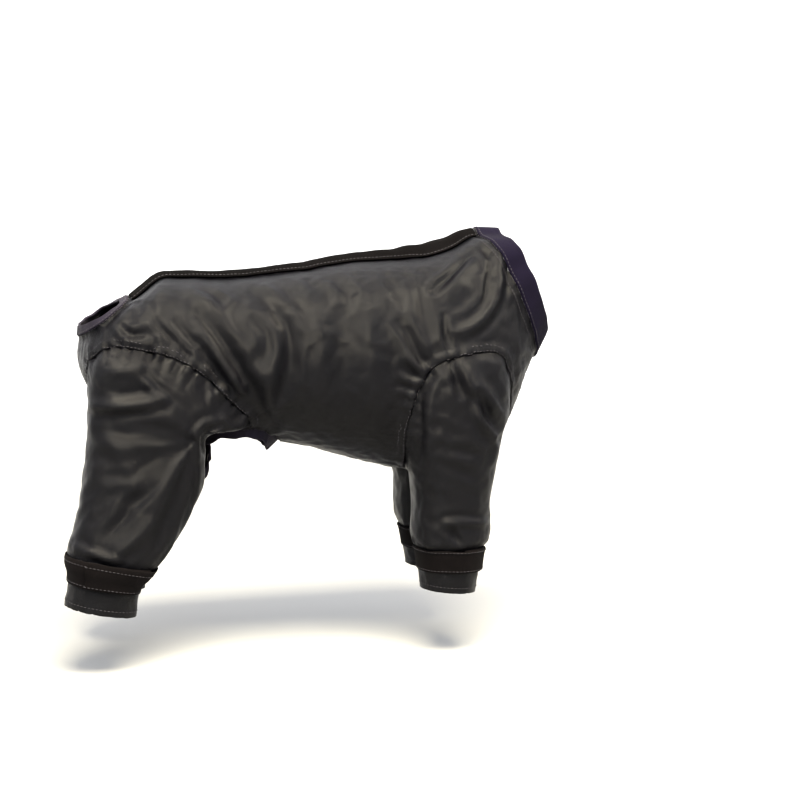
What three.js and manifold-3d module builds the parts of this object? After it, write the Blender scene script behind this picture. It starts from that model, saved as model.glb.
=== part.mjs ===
// A rain suit with four sleeves, in the shape that it has when worn: body panels that meet under
// a placket along the back, sleeves with hook-and-loop cuff straps, a neck band, a bound
// tail hole and a bound cut-out under the belly. Millimetres. +X runs to the neck, +Y to the
// suit's left and +Z up. The origin is the cloth's inner face at mid-back.
import * as THREE from "three";
import { mergeVertices } from "three/addons/utils/BufferGeometryUtils.js";
import Module from "manifold-3d";

const wasm = await Module();
wasm.setup();

// Body
const bodyLength = 398; // rump to the front of the neck
const bodyDepth = 206; // withers to brisket
const bodyWidth = 164; // widest, at the ribs
const wall = 1.6; // coated cloth with its seam allowances, as one wall
const waistStation = 0.03 * bodyLength; // where the front panels meet the rear ones

// Sleeves
const frontCapHeight = -0.35 * bodyDepth; // top of the front sleeve cap below the back
const frontLegLength = 196;
const frontLegWidth = 60; // at the strap, seen from the side
const frontLegStation = 0.2915 * bodyLength; // middle of the front leg along the body
const hindCapHeight = -0.301 * bodyDepth;
const hindLegLength = 206;
const hindLegWidth = 66;
const hindLegStation = -0.412 * bodyLength;
const frontLead = 4; // how far forward the left sleeve stands of the right one at its cap
const frontStride = 10; // and how much more at its hem
const hindLead = 12;
const hindStride = 6;

// Trims
const neckBandWidth = 21;
const neckBandWall = 2.4; // folded band
const tailBindingWidth = 8;
const tailBindingWall = 2;
const placketWidth = 32;
const placketWall = 1.6;
const strapWidth = 20; // stock width of hook-and-loop tape
const strapWall = 1.8;
const strapOverlap = 80; // degrees that the strap's end laps over its start
const frontStrapEnd = 180; // degrees from the back of the leg, round by the outer side, to the end
const hindStrapEnd = 60;
const hemBelowStrap = 17; // hem edge to the strap's lower edge, down the leg
const cutOutLength = 72; // belly cut-out, along the body
const cutOutWidth = 92;
const cutOutStation = -0.1355 * bodyLength;
const cutOutFloor = -0.777 * bodyDepth; // lower end of the cutter
const cutOutCeiling = -0.505 * bodyDepth; // and its upper end
const cutOutBindingWidth = 9;
const cutOutBindingWall = 2;

// Fits
const seamGap = 0.3; // between pieces sewn edge to edge
const layGap = 0.7; // between a trim and the cloth that it lies on

// Rings along the body from the tail seam to the neck seam. Each one is given by its top and its
// lowest point on the centre plane, as shares of bodyLength and bodyDepth, and by its half width,
// as a share of half of bodyWidth.
const bodyRings = [
  { topX: -0.354, topZ: -0.133, lowX: -0.453, lowZ: -0.272, half: 0.46 },
  { topX: -0.333, topZ: -0.09, lowX: -0.456, lowZ: -0.4, half: 0.65 },
  { topX: -0.296, topZ: -0.033, lowX: -0.412, lowZ: -0.555, half: 0.79 },
  { topX: -0.256, topZ: -0.029, lowX: -0.33, lowZ: -0.668, half: 0.865 },
  { topX: -0.188, topZ: -0.032, lowX: -0.214, lowZ: -0.678, half: 0.885 },
  { topX: -0.095, topZ: -0.022, lowX: -0.1, lowZ: -0.687, half: 0.9 },
  { topX: 0, topZ: 0, lowX: 0, lowZ: -0.726, half: 0.935 },
  { topX: 0.095, topZ: 0.03, lowX: 0.106, lowZ: -0.788, half: 0.98 },
  { topX: 0.19, topZ: 0.051, lowX: 0.213, lowZ: -0.838, half: 1 },
  { topX: 0.266, topZ: 0.075, lowX: 0.312, lowZ: -0.846, half: 1 },
  { topX: 0.315, topZ: 0.099, lowX: 0.398, lowZ: -0.765, half: 0.945 },
  { topX: 0.344, topZ: 0.12, lowX: 0.447, lowZ: -0.61, half: 0.85 },
  { topX: 0.362, topZ: 0.132, lowX: 0.477, lowZ: -0.475, half: 0.755 },
  { topX: 0.374, topZ: 0.137, lowX: 0.497, lowZ: -0.395, half: 0.68 },
];
const bodySquareness = 2.25; // exponent of the rings' superellipse
const neckTopAngle = -3; // degrees above +X that the neck band runs on top, and below
const neckLowAngle = 62;
const neckPull = 0.1; // share of its width that the band draws in
const tailTopAngle = 215; // the tail binding's run, the same way
const tailLowAngle = 85;
const tailPull = 0.12;

// Rings down a sleeve from the cap to the hem. rear and front are the ring's ends on the side
// view, as shares of the leg's width from its station. Down is a share of the leg's length. Inner
// and outer are the ring's sides, as shares of half of bodyWidth.
const frontLegRings = [
  { rear: -0.14, rearDown: -0.04, front: 0.36, frontDown: -0.05, inner: 0.66, outer: 0.84 },
  { rear: -0.54, rearDown: 0.03, front: 0.66, frontDown: 0.01, inner: 0.4, outer: 1.03 },
  { rear: -0.76, rearDown: 0.14, front: 0.79, frontDown: 0.13, inner: 0.22, outer: 1.075 },
  { rear: -0.77, rearDown: 0.27, front: 0.79, frontDown: 0.235, inner: 0.17, outer: 1.075 },
  { rear: -0.65, rearDown: 0.4, front: 0.68, frontDown: 0.36, inner: 0.19, outer: 1.06 },
  { rear: -0.57, rearDown: 0.51, front: 0.6, frontDown: 0.49, inner: 0.22, outer: 1.03 },
  { rear: -0.53, rearDown: 0.63, front: 0.53, frontDown: 0.62, inner: 0.25, outer: 1 },
  { rear: -0.55, rearDown: 0.755, front: 0.53, frontDown: 0.76, inner: 0.26, outer: 0.99 },
  { rear: -0.48, rearDown: 0.825, front: 0.42, frontDown: 0.825, inner: 0.29, outer: 0.96 },
  { rear: -0.44, rearDown: 0.92, front: 0.375, frontDown: 0.925, inner: 0.31, outer: 0.94 },
  { rear: -0.42, rearDown: 0.98, front: 0.34, frontDown: 1, inner: 0.33, outer: 0.92 },
];
const hindLegRings = [
  { rear: 0.02, rearDown: 0, front: 0.52, frontDown: -0.03, inner: 0.56, outer: 0.7 },
  { rear: -0.17, rearDown: 0.06, front: 0.98, frontDown: 0.01, inner: 0.36, outer: 0.86 },
  { rear: -0.23, rearDown: 0.15, front: 1.38, frontDown: 0.095, inner: 0.25, outer: 0.92 },
  { rear: -0.24, rearDown: 0.22, front: 1.54, frontDown: 0.205, inner: 0.22, outer: 0.94 },
  { rear: -0.25, rearDown: 0.3, front: 1.68, frontDown: 0.315, inner: 0.21, outer: 0.94 },
  { rear: -0.265, rearDown: 0.36, front: 1.22, frontDown: 0.35, inner: 0.22, outer: 0.94 },
  { rear: -0.29, rearDown: 0.44, front: 1.17, frontDown: 0.44, inner: 0.22, outer: 0.94 },
  { rear: -0.34, rearDown: 0.55, front: 1.12, frontDown: 0.56, inner: 0.24, outer: 0.945 },
  { rear: -0.43, rearDown: 0.7, front: 0.81, frontDown: 0.745, inner: 0.27, outer: 0.96 },
  { rear: -0.53, rearDown: 0.81, front: 0.49, frontDown: 0.88, inner: 0.28, outer: 0.97 },
  { rear: -0.5, rearDown: 0.855, front: 0.37, frontDown: 0.91, inner: 0.3, outer: 0.95 },
  { rear: -0.52, rearDown: 0.92, front: 0.31, frontDown: 0.975, inner: 0.32, outer: 0.94 },
  { rear: -0.56, rearDown: 0.975, front: 0.3, frontDown: 1.03, inner: 0.34, outer: 0.93 },
];
const capSquareness = 3; // a sleeve's rings are boxier at the cap than at the hem
const hemSquareness = 2.2;

// Folds seen from the side, the same on both sides: each runs from one end through its middle
// point to the other, as shares of bodyLength and bodyDepth. Reach and rise are its half width
// and its height, as shares of bodyDepth, and a valley has a negative rise.
const bodyFolds = [
  { from: [-0.173, -0.05], through: [-0.066, -0.22], to: [-0.077, -0.49], reach: 0.06, rise: -0.05 },
  { from: [-0.235, -0.165], through: [-0.158, -0.38], to: [-0.1, -0.59], reach: 0.055, rise: -0.045 },
  { from: [-0.17, -0.13], through: [-0.108, -0.3], to: [-0.09, -0.47], reach: 0.07, rise: 0.03 },
  { from: [-0.05, -0.08], through: [0, -0.25], to: [-0.02, -0.48], reach: 0.09, rise: 0.025 },
  { from: [0.249, -0.1], through: [0.3, 0], to: [0.35, 0.03], reach: 0.05, rise: -0.035 },
  { from: [0.37, 0.06], through: [0.393, -0.06], to: [0.335, -0.27], reach: 0.06, rise: 0.035 },
  { from: [0.2, -0.1], through: [0.205, -0.21], to: [0.25, -0.34], reach: 0.055, rise: -0.03 },
  { from: [-0.366, -0.15], through: [-0.388, -0.22], to: [-0.32, -0.27], reach: 0.045, rise: -0.022 },
];
const sleeveFolds = [
  { from: [0.29, -0.42], through: [0.315, -0.54], to: [0.35, -0.68], reach: 0.06, rise: 0.016 },
  { from: [0.35, -0.45], through: [0.365, -0.55], to: [0.38, -0.6], reach: 0.06, rise: -0.01 },
  { from: [0.285, -0.98], through: [0.295, -1.03], to: [0.305, -1.08], reach: 0.06, rise: -0.018 },
  { from: [-0.45, -0.44], through: [-0.4, -0.44], to: [-0.33, -0.42], reach: 0.055, rise: -0.018 },
  { from: [-0.46, -0.54], through: [-0.4, -0.53], to: [-0.31, -0.49], reach: 0.06, rise: 0.02 },
  { from: [-0.47, -0.98], through: [-0.42, -1.02], to: [-0.37, -1.07], reach: 0.06, rise: -0.02 },
];
const foldSamples = 10; // places tried along a fold for the one nearest to a point

// Mesh fineness
const bodyAround = 42;
const flankCrowding = 0.17; // the body's folds are on its flanks
const bodyAlong = 27;
const legAround = 18;
const legAlong = 10; // down to the strap
const cutOutAround = 24;

const UP = new THREE.Vector3(0, 0, 1);
const radians = THREE.MathUtils.degToRad;

// Value of one column at share s down the table, on a smooth curve through the rows.
function tableValue(rows, column, s) {
  const place = s * (rows.length - 1);
  const i = Math.min(Math.floor(place), rows.length - 2);
  const t = place - i;
  const at = (k) => rows[Math.max(0, Math.min(rows.length - 1, k))][column];
  const [a, b, c, d] = [at(i - 1), at(i), at(i + 1), at(i + 2)];
  return b + 0.5 * t * (c - a + t * (2 * a - 5 * b + 4 * c - d + t * (3 * (b - c) + d - a)));
}

// Point of a ring that stands on edge between two points of its own plane: start at turn 0, end
// at half a turn, and half to each side along Y.
function ringPoint(start, end, half, turn, squareness) {
  const power = 2 / squareness;
  const soften = (v) => Math.sign(v) * Math.abs(v) ** power;
  const middle = start.clone().add(end).multiplyScalar(0.5);
  const point = start.clone().sub(middle).multiplyScalar(soften(Math.cos(turn))).add(middle);
  point.y += half * soften(Math.sin(turn));
  return point;
}

// How far the folds lift the cloth at a point of the side view.
function foldLift(folds, x, z) {
  const place = (share) => new THREE.Vector2(share[0] * bodyLength, share[1] * bodyDepth);
  const at = new THREE.Vector2(x, z);
  let lift = 0;
  for (const fold of folds) {
    const [from, through, to] = [fold.from, fold.through, fold.to].map(place);
    const pull = through.clone().multiplyScalar(2).addScaledVector(from, -0.5).addScaledVector(to, -0.5);
    const curve = new THREE.QuadraticBezierCurve(from, pull, to);
    let [nearest, share] = [Infinity, 0];
    for (let k = 0; k <= foldSamples; k++) {
      const distance = curve.getPoint(k / foldSamples).distanceTo(at);
      if (distance < nearest) [nearest, share] = [distance, k / foldSamples];
    }
    const across = nearest / (fold.reach * bodyDepth);
    const fade = Math.sin(Math.PI * (0.15 + 0.7 * share));
    lift += fold.rise * bodyDepth * fade * Math.exp(-across * across);
  }
  return lift;
}

// A net of points over a surface, one closed row at each share, with its outward normals. The
// points can crowd towards the two sides.
function closedNet(surface, shares, around, crowding = 0) {
  const points = [];
  for (const share of shares) {
    for (let j = 0; j < around; j++) {
      const turn = (2 * Math.PI * j) / around;
      points.push(surface(share, turn + crowding * Math.sin(2 * turn)));
    }
  }
  return withNormals({ points, rows: shares.length - 1, around, closed: true });
}

// Shares from one to another at even distances along a surface's top, side and bottom lines.
function evenShares(surface, from, to, steps) {
  const samples = 200;
  const share = (i) => from + ((to - from) * i) / samples;
  const travelled = [0];
  for (let i = 1; i <= samples; i++) {
    const moves = [0, Math.PI / 2, Math.PI].map((turn) =>
      surface(share(i), turn).distanceTo(surface(share(i - 1), turn)));
    travelled.push(travelled[i - 1] + moves[0] + moves[1] + moves[2]);
  }
  return Array.from({ length: steps + 1 }, (_, k) => {
    const goal = (travelled[samples] * k) / steps;
    return share(travelled.findIndex((length) => length >= goal - 1e-9));
  });
}

// Adds the normal at each point of a net, turned so that they face away from the core.
function withNormals(net, core = meanOf(net.points)) {
  const { points, rows, around, closed } = net;
  const across = closed ? around : around - 1;
  const index = [];
  for (let i = 0; i < rows; i++) {
    for (let j = 0; j < across; j++) {
      const [a, b] = [i * around + j, i * around + ((j + 1) % around)];
      index.push(a, b, a + around, b, b + around, a + around);
    }
  }
  const geometry = new THREE.BufferGeometry().setFromPoints(points).setIndex(index);
  geometry.computeVertexNormals();
  const normal = geometry.getAttribute("normal");
  const normals = points.map((_, k) => new THREE.Vector3().fromBufferAttribute(normal, k));
  const facing = points.reduce((sum, p, k) => sum + normals[k].dot(p.clone().sub(core)), 0);
  if (facing < 0) for (const n of normals) n.negate();
  return { ...net, normals };
}

function meanOf(points) {
  return points.reduce((sum, p) => sum.add(p), new THREE.Vector3()).divideScalar(points.length);
}

// Moves each point of a net out along its normal by the fold lift, on the outer sides only.
function foldedNet(net, folds) {
  const points = net.points.map((p, k) => {
    const n = net.normals[k];
    const facing = Math.max(0, Math.sign(p.y) * n.y);
    return p.clone().addScaledVector(n, facing ** 2 * foldLift(folds, p.x, p.z));
  });
  return withNormals({ ...net, points });
}

function geometryOf(vertices, faces) {
  const geometry = new THREE.BufferGeometry().setFromPoints(vertices);
  return geometry.setIndex(faces);
}

// Wall between two offsets from a net, with its rims closed.
function wallFrom(net, outer, inner) {
  const { points, normals, rows, around, closed } = net;
  const shift = (offset) => points.map((p, k) => p.clone().addScaledVector(normals[k], offset));
  const vertices = [...shift(outer), ...shift(inner)];
  const under = points.length;
  const faces = [];
  const quad = (a, b, c, d) => faces.push(a, b, c, a, c, d);
  const across = closed ? around : around - 1;
  for (let i = 0; i < rows; i++) {
    for (let j = 0; j < across; j++) {
      const [a, b] = [i * around + j, i * around + ((j + 1) % around)];
      quad(a, b, b + around, a + around);
      quad(under + b, under + a, under + a + around, under + b + around);
    }
  }
  for (let j = 0; j < across; j++) {
    const next = (j + 1) % around;
    const last = rows * around;
    quad(next, j, under + j, under + next);
    quad(last + j, last + next, under + last + next, under + last + j);
  }
  if (!closed) {
    for (let i = 0; i < rows; i++) {
      const [a, b] = [i * around, (i + 1) * around];
      quad(a, b, under + b, under + a);
      quad(b + around - 1, a + around - 1, under + a + around - 1, under + b + around - 1);
    }
  }
  return geometryOf(vertices, faces);
}

// Everything inside a closed net at an offset, with flat fans over both ends.
function fillOf(net, offset) {
  const { points, normals, rows, around } = net;
  const vertices = points.map((p, k) => p.clone().addScaledVector(normals[k], offset));
  const faces = [];
  for (let i = 0; i < rows; i++) {
    for (let j = 0; j < around; j++) {
      const [a, b] = [i * around + j, i * around + ((j + 1) % around)];
      faces.push(a, b, b + around, a, b + around, a + around);
    }
  }
  for (const [row, flip] of [[0, true], [rows, false]]) {
    vertices.push(meanOf(vertices.slice(row * around, (row + 1) * around)));
    for (let j = 0; j < around; j++) {
      const [a, b] = [row * around + j, row * around + ((j + 1) % around)];
      faces.push(...(flip ? [b, a, vertices.length - 1] : [a, b, vertices.length - 1]));
    }
  }
  return geometryOf(vertices, faces);
}

// Booleans
function solidOf(geometry) {
  const bare = geometry.clone();
  for (const name of ["normal", "uv"]) bare.deleteAttribute(name);
  const merged = mergeVertices(bare, 1e-4);
  const solid = new wasm.Manifold(
    new wasm.Mesh({
      numProp: 3,
      vertProperties: merged.attributes.position.array,
      triVerts: new Uint32Array(merged.index.array),
    }),
  );
  if (solid.volume() > 0) return solid;
  const turned = merged.index.array;
  for (let i = 0; i < turned.length; i += 3) {
    [turned[i + 1], turned[i + 2]] = [turned[i + 2], turned[i + 1]];
  }
  return solidOf(merged);
}

// The largest body of a solid: where two cloth surfaces meet at a low angle, crumbs may be left.
function geometryFrom(solid) {
  const bodies = solid.decompose().sort((a, b) => b.volume() - a.volume());
  const mesh = bodies[0].getMesh();
  const count = mesh.numVert;
  const positions = new Float32Array(count * 3);
  for (let i = 0; i < count; i++) {
    const start = i * mesh.numProp;
    positions.set(mesh.vertProperties.subarray(start, start + 3), i * 3);
  }
  const geometry = new THREE.BufferGeometry();
  geometry.setAttribute("position", new THREE.BufferAttribute(positions, 3));
  geometry.setIndex(new THREE.BufferAttribute(new Uint32Array(mesh.triVerts), 1));
  return geometry;
}

// Body surface
function bodyEnds(s) {
  const at = (column) => tableValue(bodyRings, column, s);
  return {
    top: new THREE.Vector3(at("topX") * bodyLength, 0, at("topZ") * bodyDepth),
    low: new THREE.Vector3(at("lowX") * bodyLength, 0, at("lowZ") * bodyDepth),
    half: (at("half") * bodyWidth) / 2,
  };
}

function bodySurface(s, turn) {
  const { top, low, half } = bodyEnds(s);
  return ringPoint(top, low, half, turn, bodySquareness);
}

// A band that carries the body's end ring on by its own width.
function endBandSurface(end, width, topAngle, lowAngle, pull) {
  const { top, low, half } = bodyEnds(end);
  const along = (degrees) => new THREE.Vector3(Math.cos(radians(degrees)), 0, Math.sin(radians(degrees)));
  return (t, turn) => {
    const start = top.clone().addScaledVector(along(topAngle), width * t);
    const stop = low.clone().addScaledVector(along(lowAngle), width * t);
    return ringPoint(start, stop, half * (1 - pull * t), turn, bodySquareness);
  };
}

// Leg surface, for the right side when side is -1 and the left when it is 1.
function legSurface(leg, side) {
  return (s, turn) => {
    const at = (column) => tableValue(leg.rings, column, s);
    const ahead = side > 0 ? leg.lead + leg.stride * Math.max(0, at("rearDown")) : 0;
    const point = (x, down) =>
      new THREE.Vector3(leg.station + x * leg.width + ahead, 0, leg.cap - down * leg.length);
    const start = point(at("rear"), at("rearDown"));
    const end = point(at("front"), at("frontDown"));
    const half = ((at("outer") - at("inner")) * bodyWidth) / 4;
    const middle = (side * (at("outer") + at("inner")) * bodyWidth) / 4;
    const on = ringPoint(start, end, half, turn, THREE.MathUtils.lerp(capSquareness, hemSquareness, s));
    on.y += middle;
    return on;
  };
}

const frontLeg = {
  rings: frontLegRings, station: frontLegStation, width: frontLegWidth, cap: frontCapHeight,
  length: frontLegLength, lead: frontLead, stride: frontStride, strapEnd: frontStrapEnd, strapWay: 1,
};
const hindLeg = {
  rings: hindLegRings, station: hindLegStation, width: hindLegWidth, cap: hindCapHeight,
  length: hindLegLength, lead: hindLead, stride: hindStride, strapEnd: hindStrapEnd, strapWay: -1,
};
const legs = [
  { name: "front_sleeve_right", strap: "front_strap_right", leg: frontLeg, side: -1 },
  { name: "front_sleeve_left", strap: "front_strap_left", leg: frontLeg, side: 1 },
  { name: "hind_sleeve_right", strap: "hind_strap_right", leg: hindLeg, side: -1 },
  { name: "hind_sleeve_left", strap: "hind_strap_left", leg: hindLeg, side: 1 },
];

// Shares down a sleeve at which the front of the cuff passes the strap's edges.
function strapShares(leg) {
  const hem = leg.rings[leg.rings.length - 1].frontDown;
  return [1, 0].map((part) => {
    const down = hem - (hemBelowStrap + part * strapWidth) / leg.length;
    let share = 0;
    while (tableValue(leg.rings, "frontDown", share) < down) share += 0.002;
    return share;
  });
}

const bodyShares = evenShares(bodySurface, 0, 1, bodyAlong);
const bodyNet = foldedNet(closedNet(bodySurface, bodyShares, bodyAround, flankCrowding), bodyFolds);
for (const l of legs) {
  const surface = legSurface(l.leg, l.side);
  const strap = strapShares(l.leg);
  const shares = [...evenShares(surface, 0, strap[0], legAlong), strap[1], 1];
  l.net = foldedNet(closedNet(surface, shares, legAround), sleeveFolds);
}

// Belly cut-out: an upright oval column through the underside.
function cutOutColumn() {
  const height = cutOutCeiling - cutOutFloor;
  const column = new THREE.CylinderGeometry(0.5, 0.5, height, cutOutAround);
  column.rotateX(Math.PI / 2);
  column.scale(cutOutLength, cutOutWidth, 1);
  column.translate(cutOutStation, 0, cutOutFloor + height / 2);
  return column;
}

// Panels and sleeves
function bodyPanel(side, way) {
  const reach = 2 * bodyLength;
  const quarter = new THREE.BoxGeometry(reach, reach, 2 * reach);
  quarter.translate(waistStation + (way * (reach + seamGap)) / 2, (side * (reach + seamGap)) / 2, 0);
  let panel = solidOf(wallFrom(bodyNet, 0, -wall)).intersect(solidOf(quarter));
  panel = panel.subtract(solidOf(cutOutColumn()));
  for (const l of legs) panel = panel.subtract(solidOf(fillOf(l.net, -wall)));
  return geometryFrom(panel);
}

function sleeve(l) {
  const cloth = solidOf(wallFrom(l.net, 0, -wall));
  const body = solidOf(fillOf(bodyNet, seamGap));
  return geometryFrom(cloth.subtract(body).subtract(solidOf(cutOutColumn())));
}

// Strap: one turn round the cuff and a lap over its own start.
function strap(l) {
  const step = 360 / legAround;
  const steps = Math.round((360 + strapOverlap) / step);
  const lift = strapWall + layGap;
  const points = [];
  for (let i = 0; i <= steps; i++) {
    const lap = THREE.MathUtils.smoothstep(i * step, 360 - 3 * step, 360 - step);
    const out = layGap + lap * lift;
    const turn = l.leg.strapEnd - l.leg.strapWay * (steps - i) * step;
    const column = ((Math.round((l.side * turn) / step) % legAround) + legAround) % legAround;
    for (const row of [legAlong, legAlong + 1]) {
      const k = row * legAround + column;
      points.push(l.net.points[k].clone().addScaledVector(l.net.normals[k], out));
    }
  }
  const net = withNormals({ points, rows: steps, around: 2, closed: false });
  return geometryFrom(solidOf(wallFrom(net, strapWall, 0)));
}

// Placket: a flat band over the spine, from the tail seam to the neck seam.
function placket() {
  const across = 4;
  const points = [];
  for (const share of bodyShares) {
    const { half } = bodyEnds(share);
    for (let j = 0; j <= across; j++) {
      const y = (j / across - 0.5) * placketWidth;
      const turn = Math.asin(Math.min(1, Math.abs(y) / half) ** (bodySquareness / 2));
      points.push(bodySurface(share, Math.sign(y) * turn));
    }
  }
  const core = new THREE.Vector3(0, 0, -bodyDepth / 2);
  const net = withNormals({ points, rows: bodyAlong, around: across + 1, closed: false }, core);
  return geometryFrom(solidOf(wallFrom(net, layGap + placketWall, layGap)));
}

// Band round the neck or the tail hole, edge to edge with the body's end.
function endBand(end, width, thick, topAngle, lowAngle, pull) {
  const surface = endBandSurface(end, width, topAngle, lowAngle, pull);
  const net = closedNet(surface, [(2 * seamGap) / width, 0.5, 1], bodyAround / 2);
  const proud = (thick - wall) / 2;
  return geometryFrom(solidOf(wallFrom(net, proud, proud - thick)));
}

// Binding that lines the belly cut-out and hangs a little below its edge.
function cutOutBinding() {
  const nets = [bodyNet, ...legs.filter((l) => l.leg === hindLeg).map((l) => l.net)];
  const cloth = nets.map((net) => new THREE.Mesh(geometryFrom(solidOf(fillOf(net, 0)))));
  const ray = new THREE.Raycaster();
  const ring = [];
  for (let i = 0; i < cutOutAround; i++) {
    const turn = (2 * Math.PI * i) / cutOutAround;
    const x = cutOutStation + (cutOutLength / 2 - layGap) * Math.cos(turn);
    const y = (cutOutWidth / 2 - layGap) * Math.sin(turn);
    ray.set(new THREE.Vector3(x, y, cutOutFloor), UP);
    ring.push(ray.intersectObjects(cloth)[0].point);
  }
  const rise = [wall, wall - cutOutBindingWidth];
  const points = rise.flatMap((by) => ring.map((p) => p.clone().addScaledVector(UP, by)));
  const net = withNormals({ points, rows: 1, around: cutOutAround, closed: true });
  return geometryFrom(solidOf(wallFrom(net, 0, -cutOutBindingWall)));
}

// Finishes
const coatedCloth = new THREE.MeshStandardMaterial({ color: 0x1c1c20, roughness: 0.42, metalness: 0 });
const bandCloth = new THREE.MeshStandardMaterial({ color: 0x17142a, roughness: 0.85, metalness: 0 });
const bindingCloth = new THREE.MeshStandardMaterial({ color: 0x221d38, roughness: 0.8, metalness: 0 });
const webbing = new THREE.MeshStandardMaterial({ color: 0x121011, roughness: 0.9, metalness: 0 });

const suit = new THREE.Group();
suit.position.z = wall; // the tables give the outer face, and the origin is the inner one

function add(name, geometry, material) {
  const mesh = new THREE.Mesh(geometry, material);
  mesh.name = name;
  suit.add(mesh);
}

add("rear_panel_right", bodyPanel(-1, -1), coatedCloth);
add("rear_panel_left", bodyPanel(1, -1), coatedCloth);
add("front_panel_right", bodyPanel(-1, 1), coatedCloth);
add("front_panel_left", bodyPanel(1, 1), coatedCloth);
for (const l of legs) {
  add(l.name, sleeve(l), coatedCloth);
  add(l.strap, strap(l), webbing);
}
add("back_placket", placket(), webbing);
add("neck_band", endBand(1, neckBandWidth, neckBandWall, neckTopAngle, neckLowAngle, neckPull), bandCloth);
add(
  "tail_binding",
  endBand(0, tailBindingWidth, tailBindingWall, tailTopAngle, tailLowAngle, tailPull),
  bindingCloth,
);
add("belly_binding", cutOutBinding(), bindingCloth);

export default suit;
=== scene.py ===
import math

import bmesh
import bpy
import numpy as np
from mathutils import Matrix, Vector, noise
from mathutils.bvhtree import BVHTree
from mathutils.kdtree import KDTree


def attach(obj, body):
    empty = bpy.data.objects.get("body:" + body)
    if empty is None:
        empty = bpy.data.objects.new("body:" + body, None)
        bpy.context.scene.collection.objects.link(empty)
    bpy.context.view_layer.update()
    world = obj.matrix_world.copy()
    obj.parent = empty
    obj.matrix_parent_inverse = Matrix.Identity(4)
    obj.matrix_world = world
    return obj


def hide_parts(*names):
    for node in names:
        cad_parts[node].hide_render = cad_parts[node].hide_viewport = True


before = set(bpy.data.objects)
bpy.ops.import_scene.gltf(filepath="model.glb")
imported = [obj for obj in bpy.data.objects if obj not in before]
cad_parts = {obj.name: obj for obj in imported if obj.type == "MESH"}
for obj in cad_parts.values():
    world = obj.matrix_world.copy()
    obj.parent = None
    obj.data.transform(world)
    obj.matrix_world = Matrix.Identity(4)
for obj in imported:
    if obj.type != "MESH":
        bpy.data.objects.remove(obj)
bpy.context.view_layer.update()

# Sizes
BODY_LENGTH = 0.398
BODY_DEPTH = 0.206
BODY_WIDTH = 0.164
SUIT_LIFT = 0.0016  # the tables give the outer face, and the origin is the inner one
SKIN_GRAIN = 0.0021  # edge length of the skin's mesh
RUN_OUT = 0.012  # how far the forms run past the neck, tail and hem edges before they are cut
CLOTH_THICKNESS = 0.0008
CUT_OUT_LENGTH = 0.072
CUT_OUT_WIDTH = 0.092
CUT_OUT_STATION = -0.054
CUT_OUT_CEILING = -0.104
PLACKET_WIDTH = 0.032
NECK_BAND_WIDTH = 0.021
STRAP_WIDTH = 0.020
HEM_BELOW_STRAP = 0.017
FLOOR_HEIGHT = -0.320

# Camera
CAMERA_PLACE = (-0.27785, -1.43874, 0.04685)
CAMERA_YAW = 14.187  # degrees from +Y towards +X
CAMERA_PITCH = -6.171  # degrees from level
CAMERA_LENS = 79.12  # millimetres, on a film of this width
FILM_WIDTH = 36

scene = bpy.context.scene
camera_data = bpy.data.cameras.new("camera")
camera_data.lens = CAMERA_LENS
camera_data.sensor_width = FILM_WIDTH
camera = bpy.data.objects.new("camera", camera_data)
camera.location = CAMERA_PLACE
camera.rotation_euler = (math.radians(90 + CAMERA_PITCH), 0, math.radians(-CAMERA_YAW))
scene.collection.objects.link(camera)
scene.camera = camera

# Rings from the tail seam to the neck seam: top x and z and low x and z on the centre plane, as
# shares of the body's length and depth, and half width as a share of half its width
BODY_COLUMNS = ("top_x", "top_z", "low_x", "low_z", "half")
BODY_RINGS = [
    (-0.354, -0.133, -0.453, -0.272, 0.46),
    (-0.333, -0.09, -0.456, -0.4, 0.65),
    (-0.296, -0.033, -0.412, -0.555, 0.79),
    (-0.256, -0.029, -0.33, -0.668, 0.865),
    (-0.188, -0.032, -0.214, -0.678, 0.885),
    (-0.095, -0.022, -0.1, -0.687, 0.9),
    (0, 0, 0, -0.726, 0.935),
    (0.095, 0.03, 0.106, -0.788, 0.98),
    (0.19, 0.051, 0.213, -0.838, 1),
    (0.266, 0.075, 0.312, -0.846, 1),
    (0.315, 0.099, 0.398, -0.765, 0.945),
    (0.344, 0.12, 0.447, -0.61, 0.85),
    (0.362, 0.132, 0.477, -0.475, 0.755),
    (0.374, 0.137, 0.497, -0.395, 0.68),
]
BODY_SQUARENESS = 2.25

# Rings down a sleeve: rear and front ends on the side view, as shares of the leg's width and
# length, and inner and outer sides, as shares of half of the body's width
LEG_COLUMNS = ("rear", "rear_down", "front", "front_down", "inner", "outer")
FRONT_LEG_RINGS = [
    (-0.14, -0.04, 0.36, -0.05, 0.66, 0.84),
    (-0.54, 0.03, 0.66, 0.01, 0.4, 1.03),
    (-0.76, 0.14, 0.79, 0.13, 0.22, 1.075),
    (-0.77, 0.27, 0.79, 0.235, 0.17, 1.075),
    (-0.65, 0.4, 0.68, 0.36, 0.19, 1.06),
    (-0.57, 0.51, 0.6, 0.49, 0.22, 1.03),
    (-0.53, 0.63, 0.53, 0.62, 0.25, 1),
    (-0.55, 0.755, 0.53, 0.76, 0.26, 0.99),
    (-0.48, 0.825, 0.42, 0.825, 0.29, 0.96),
    (-0.44, 0.92, 0.375, 0.925, 0.31, 0.94),
    (-0.42, 0.98, 0.34, 1, 0.33, 0.92),
]
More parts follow.
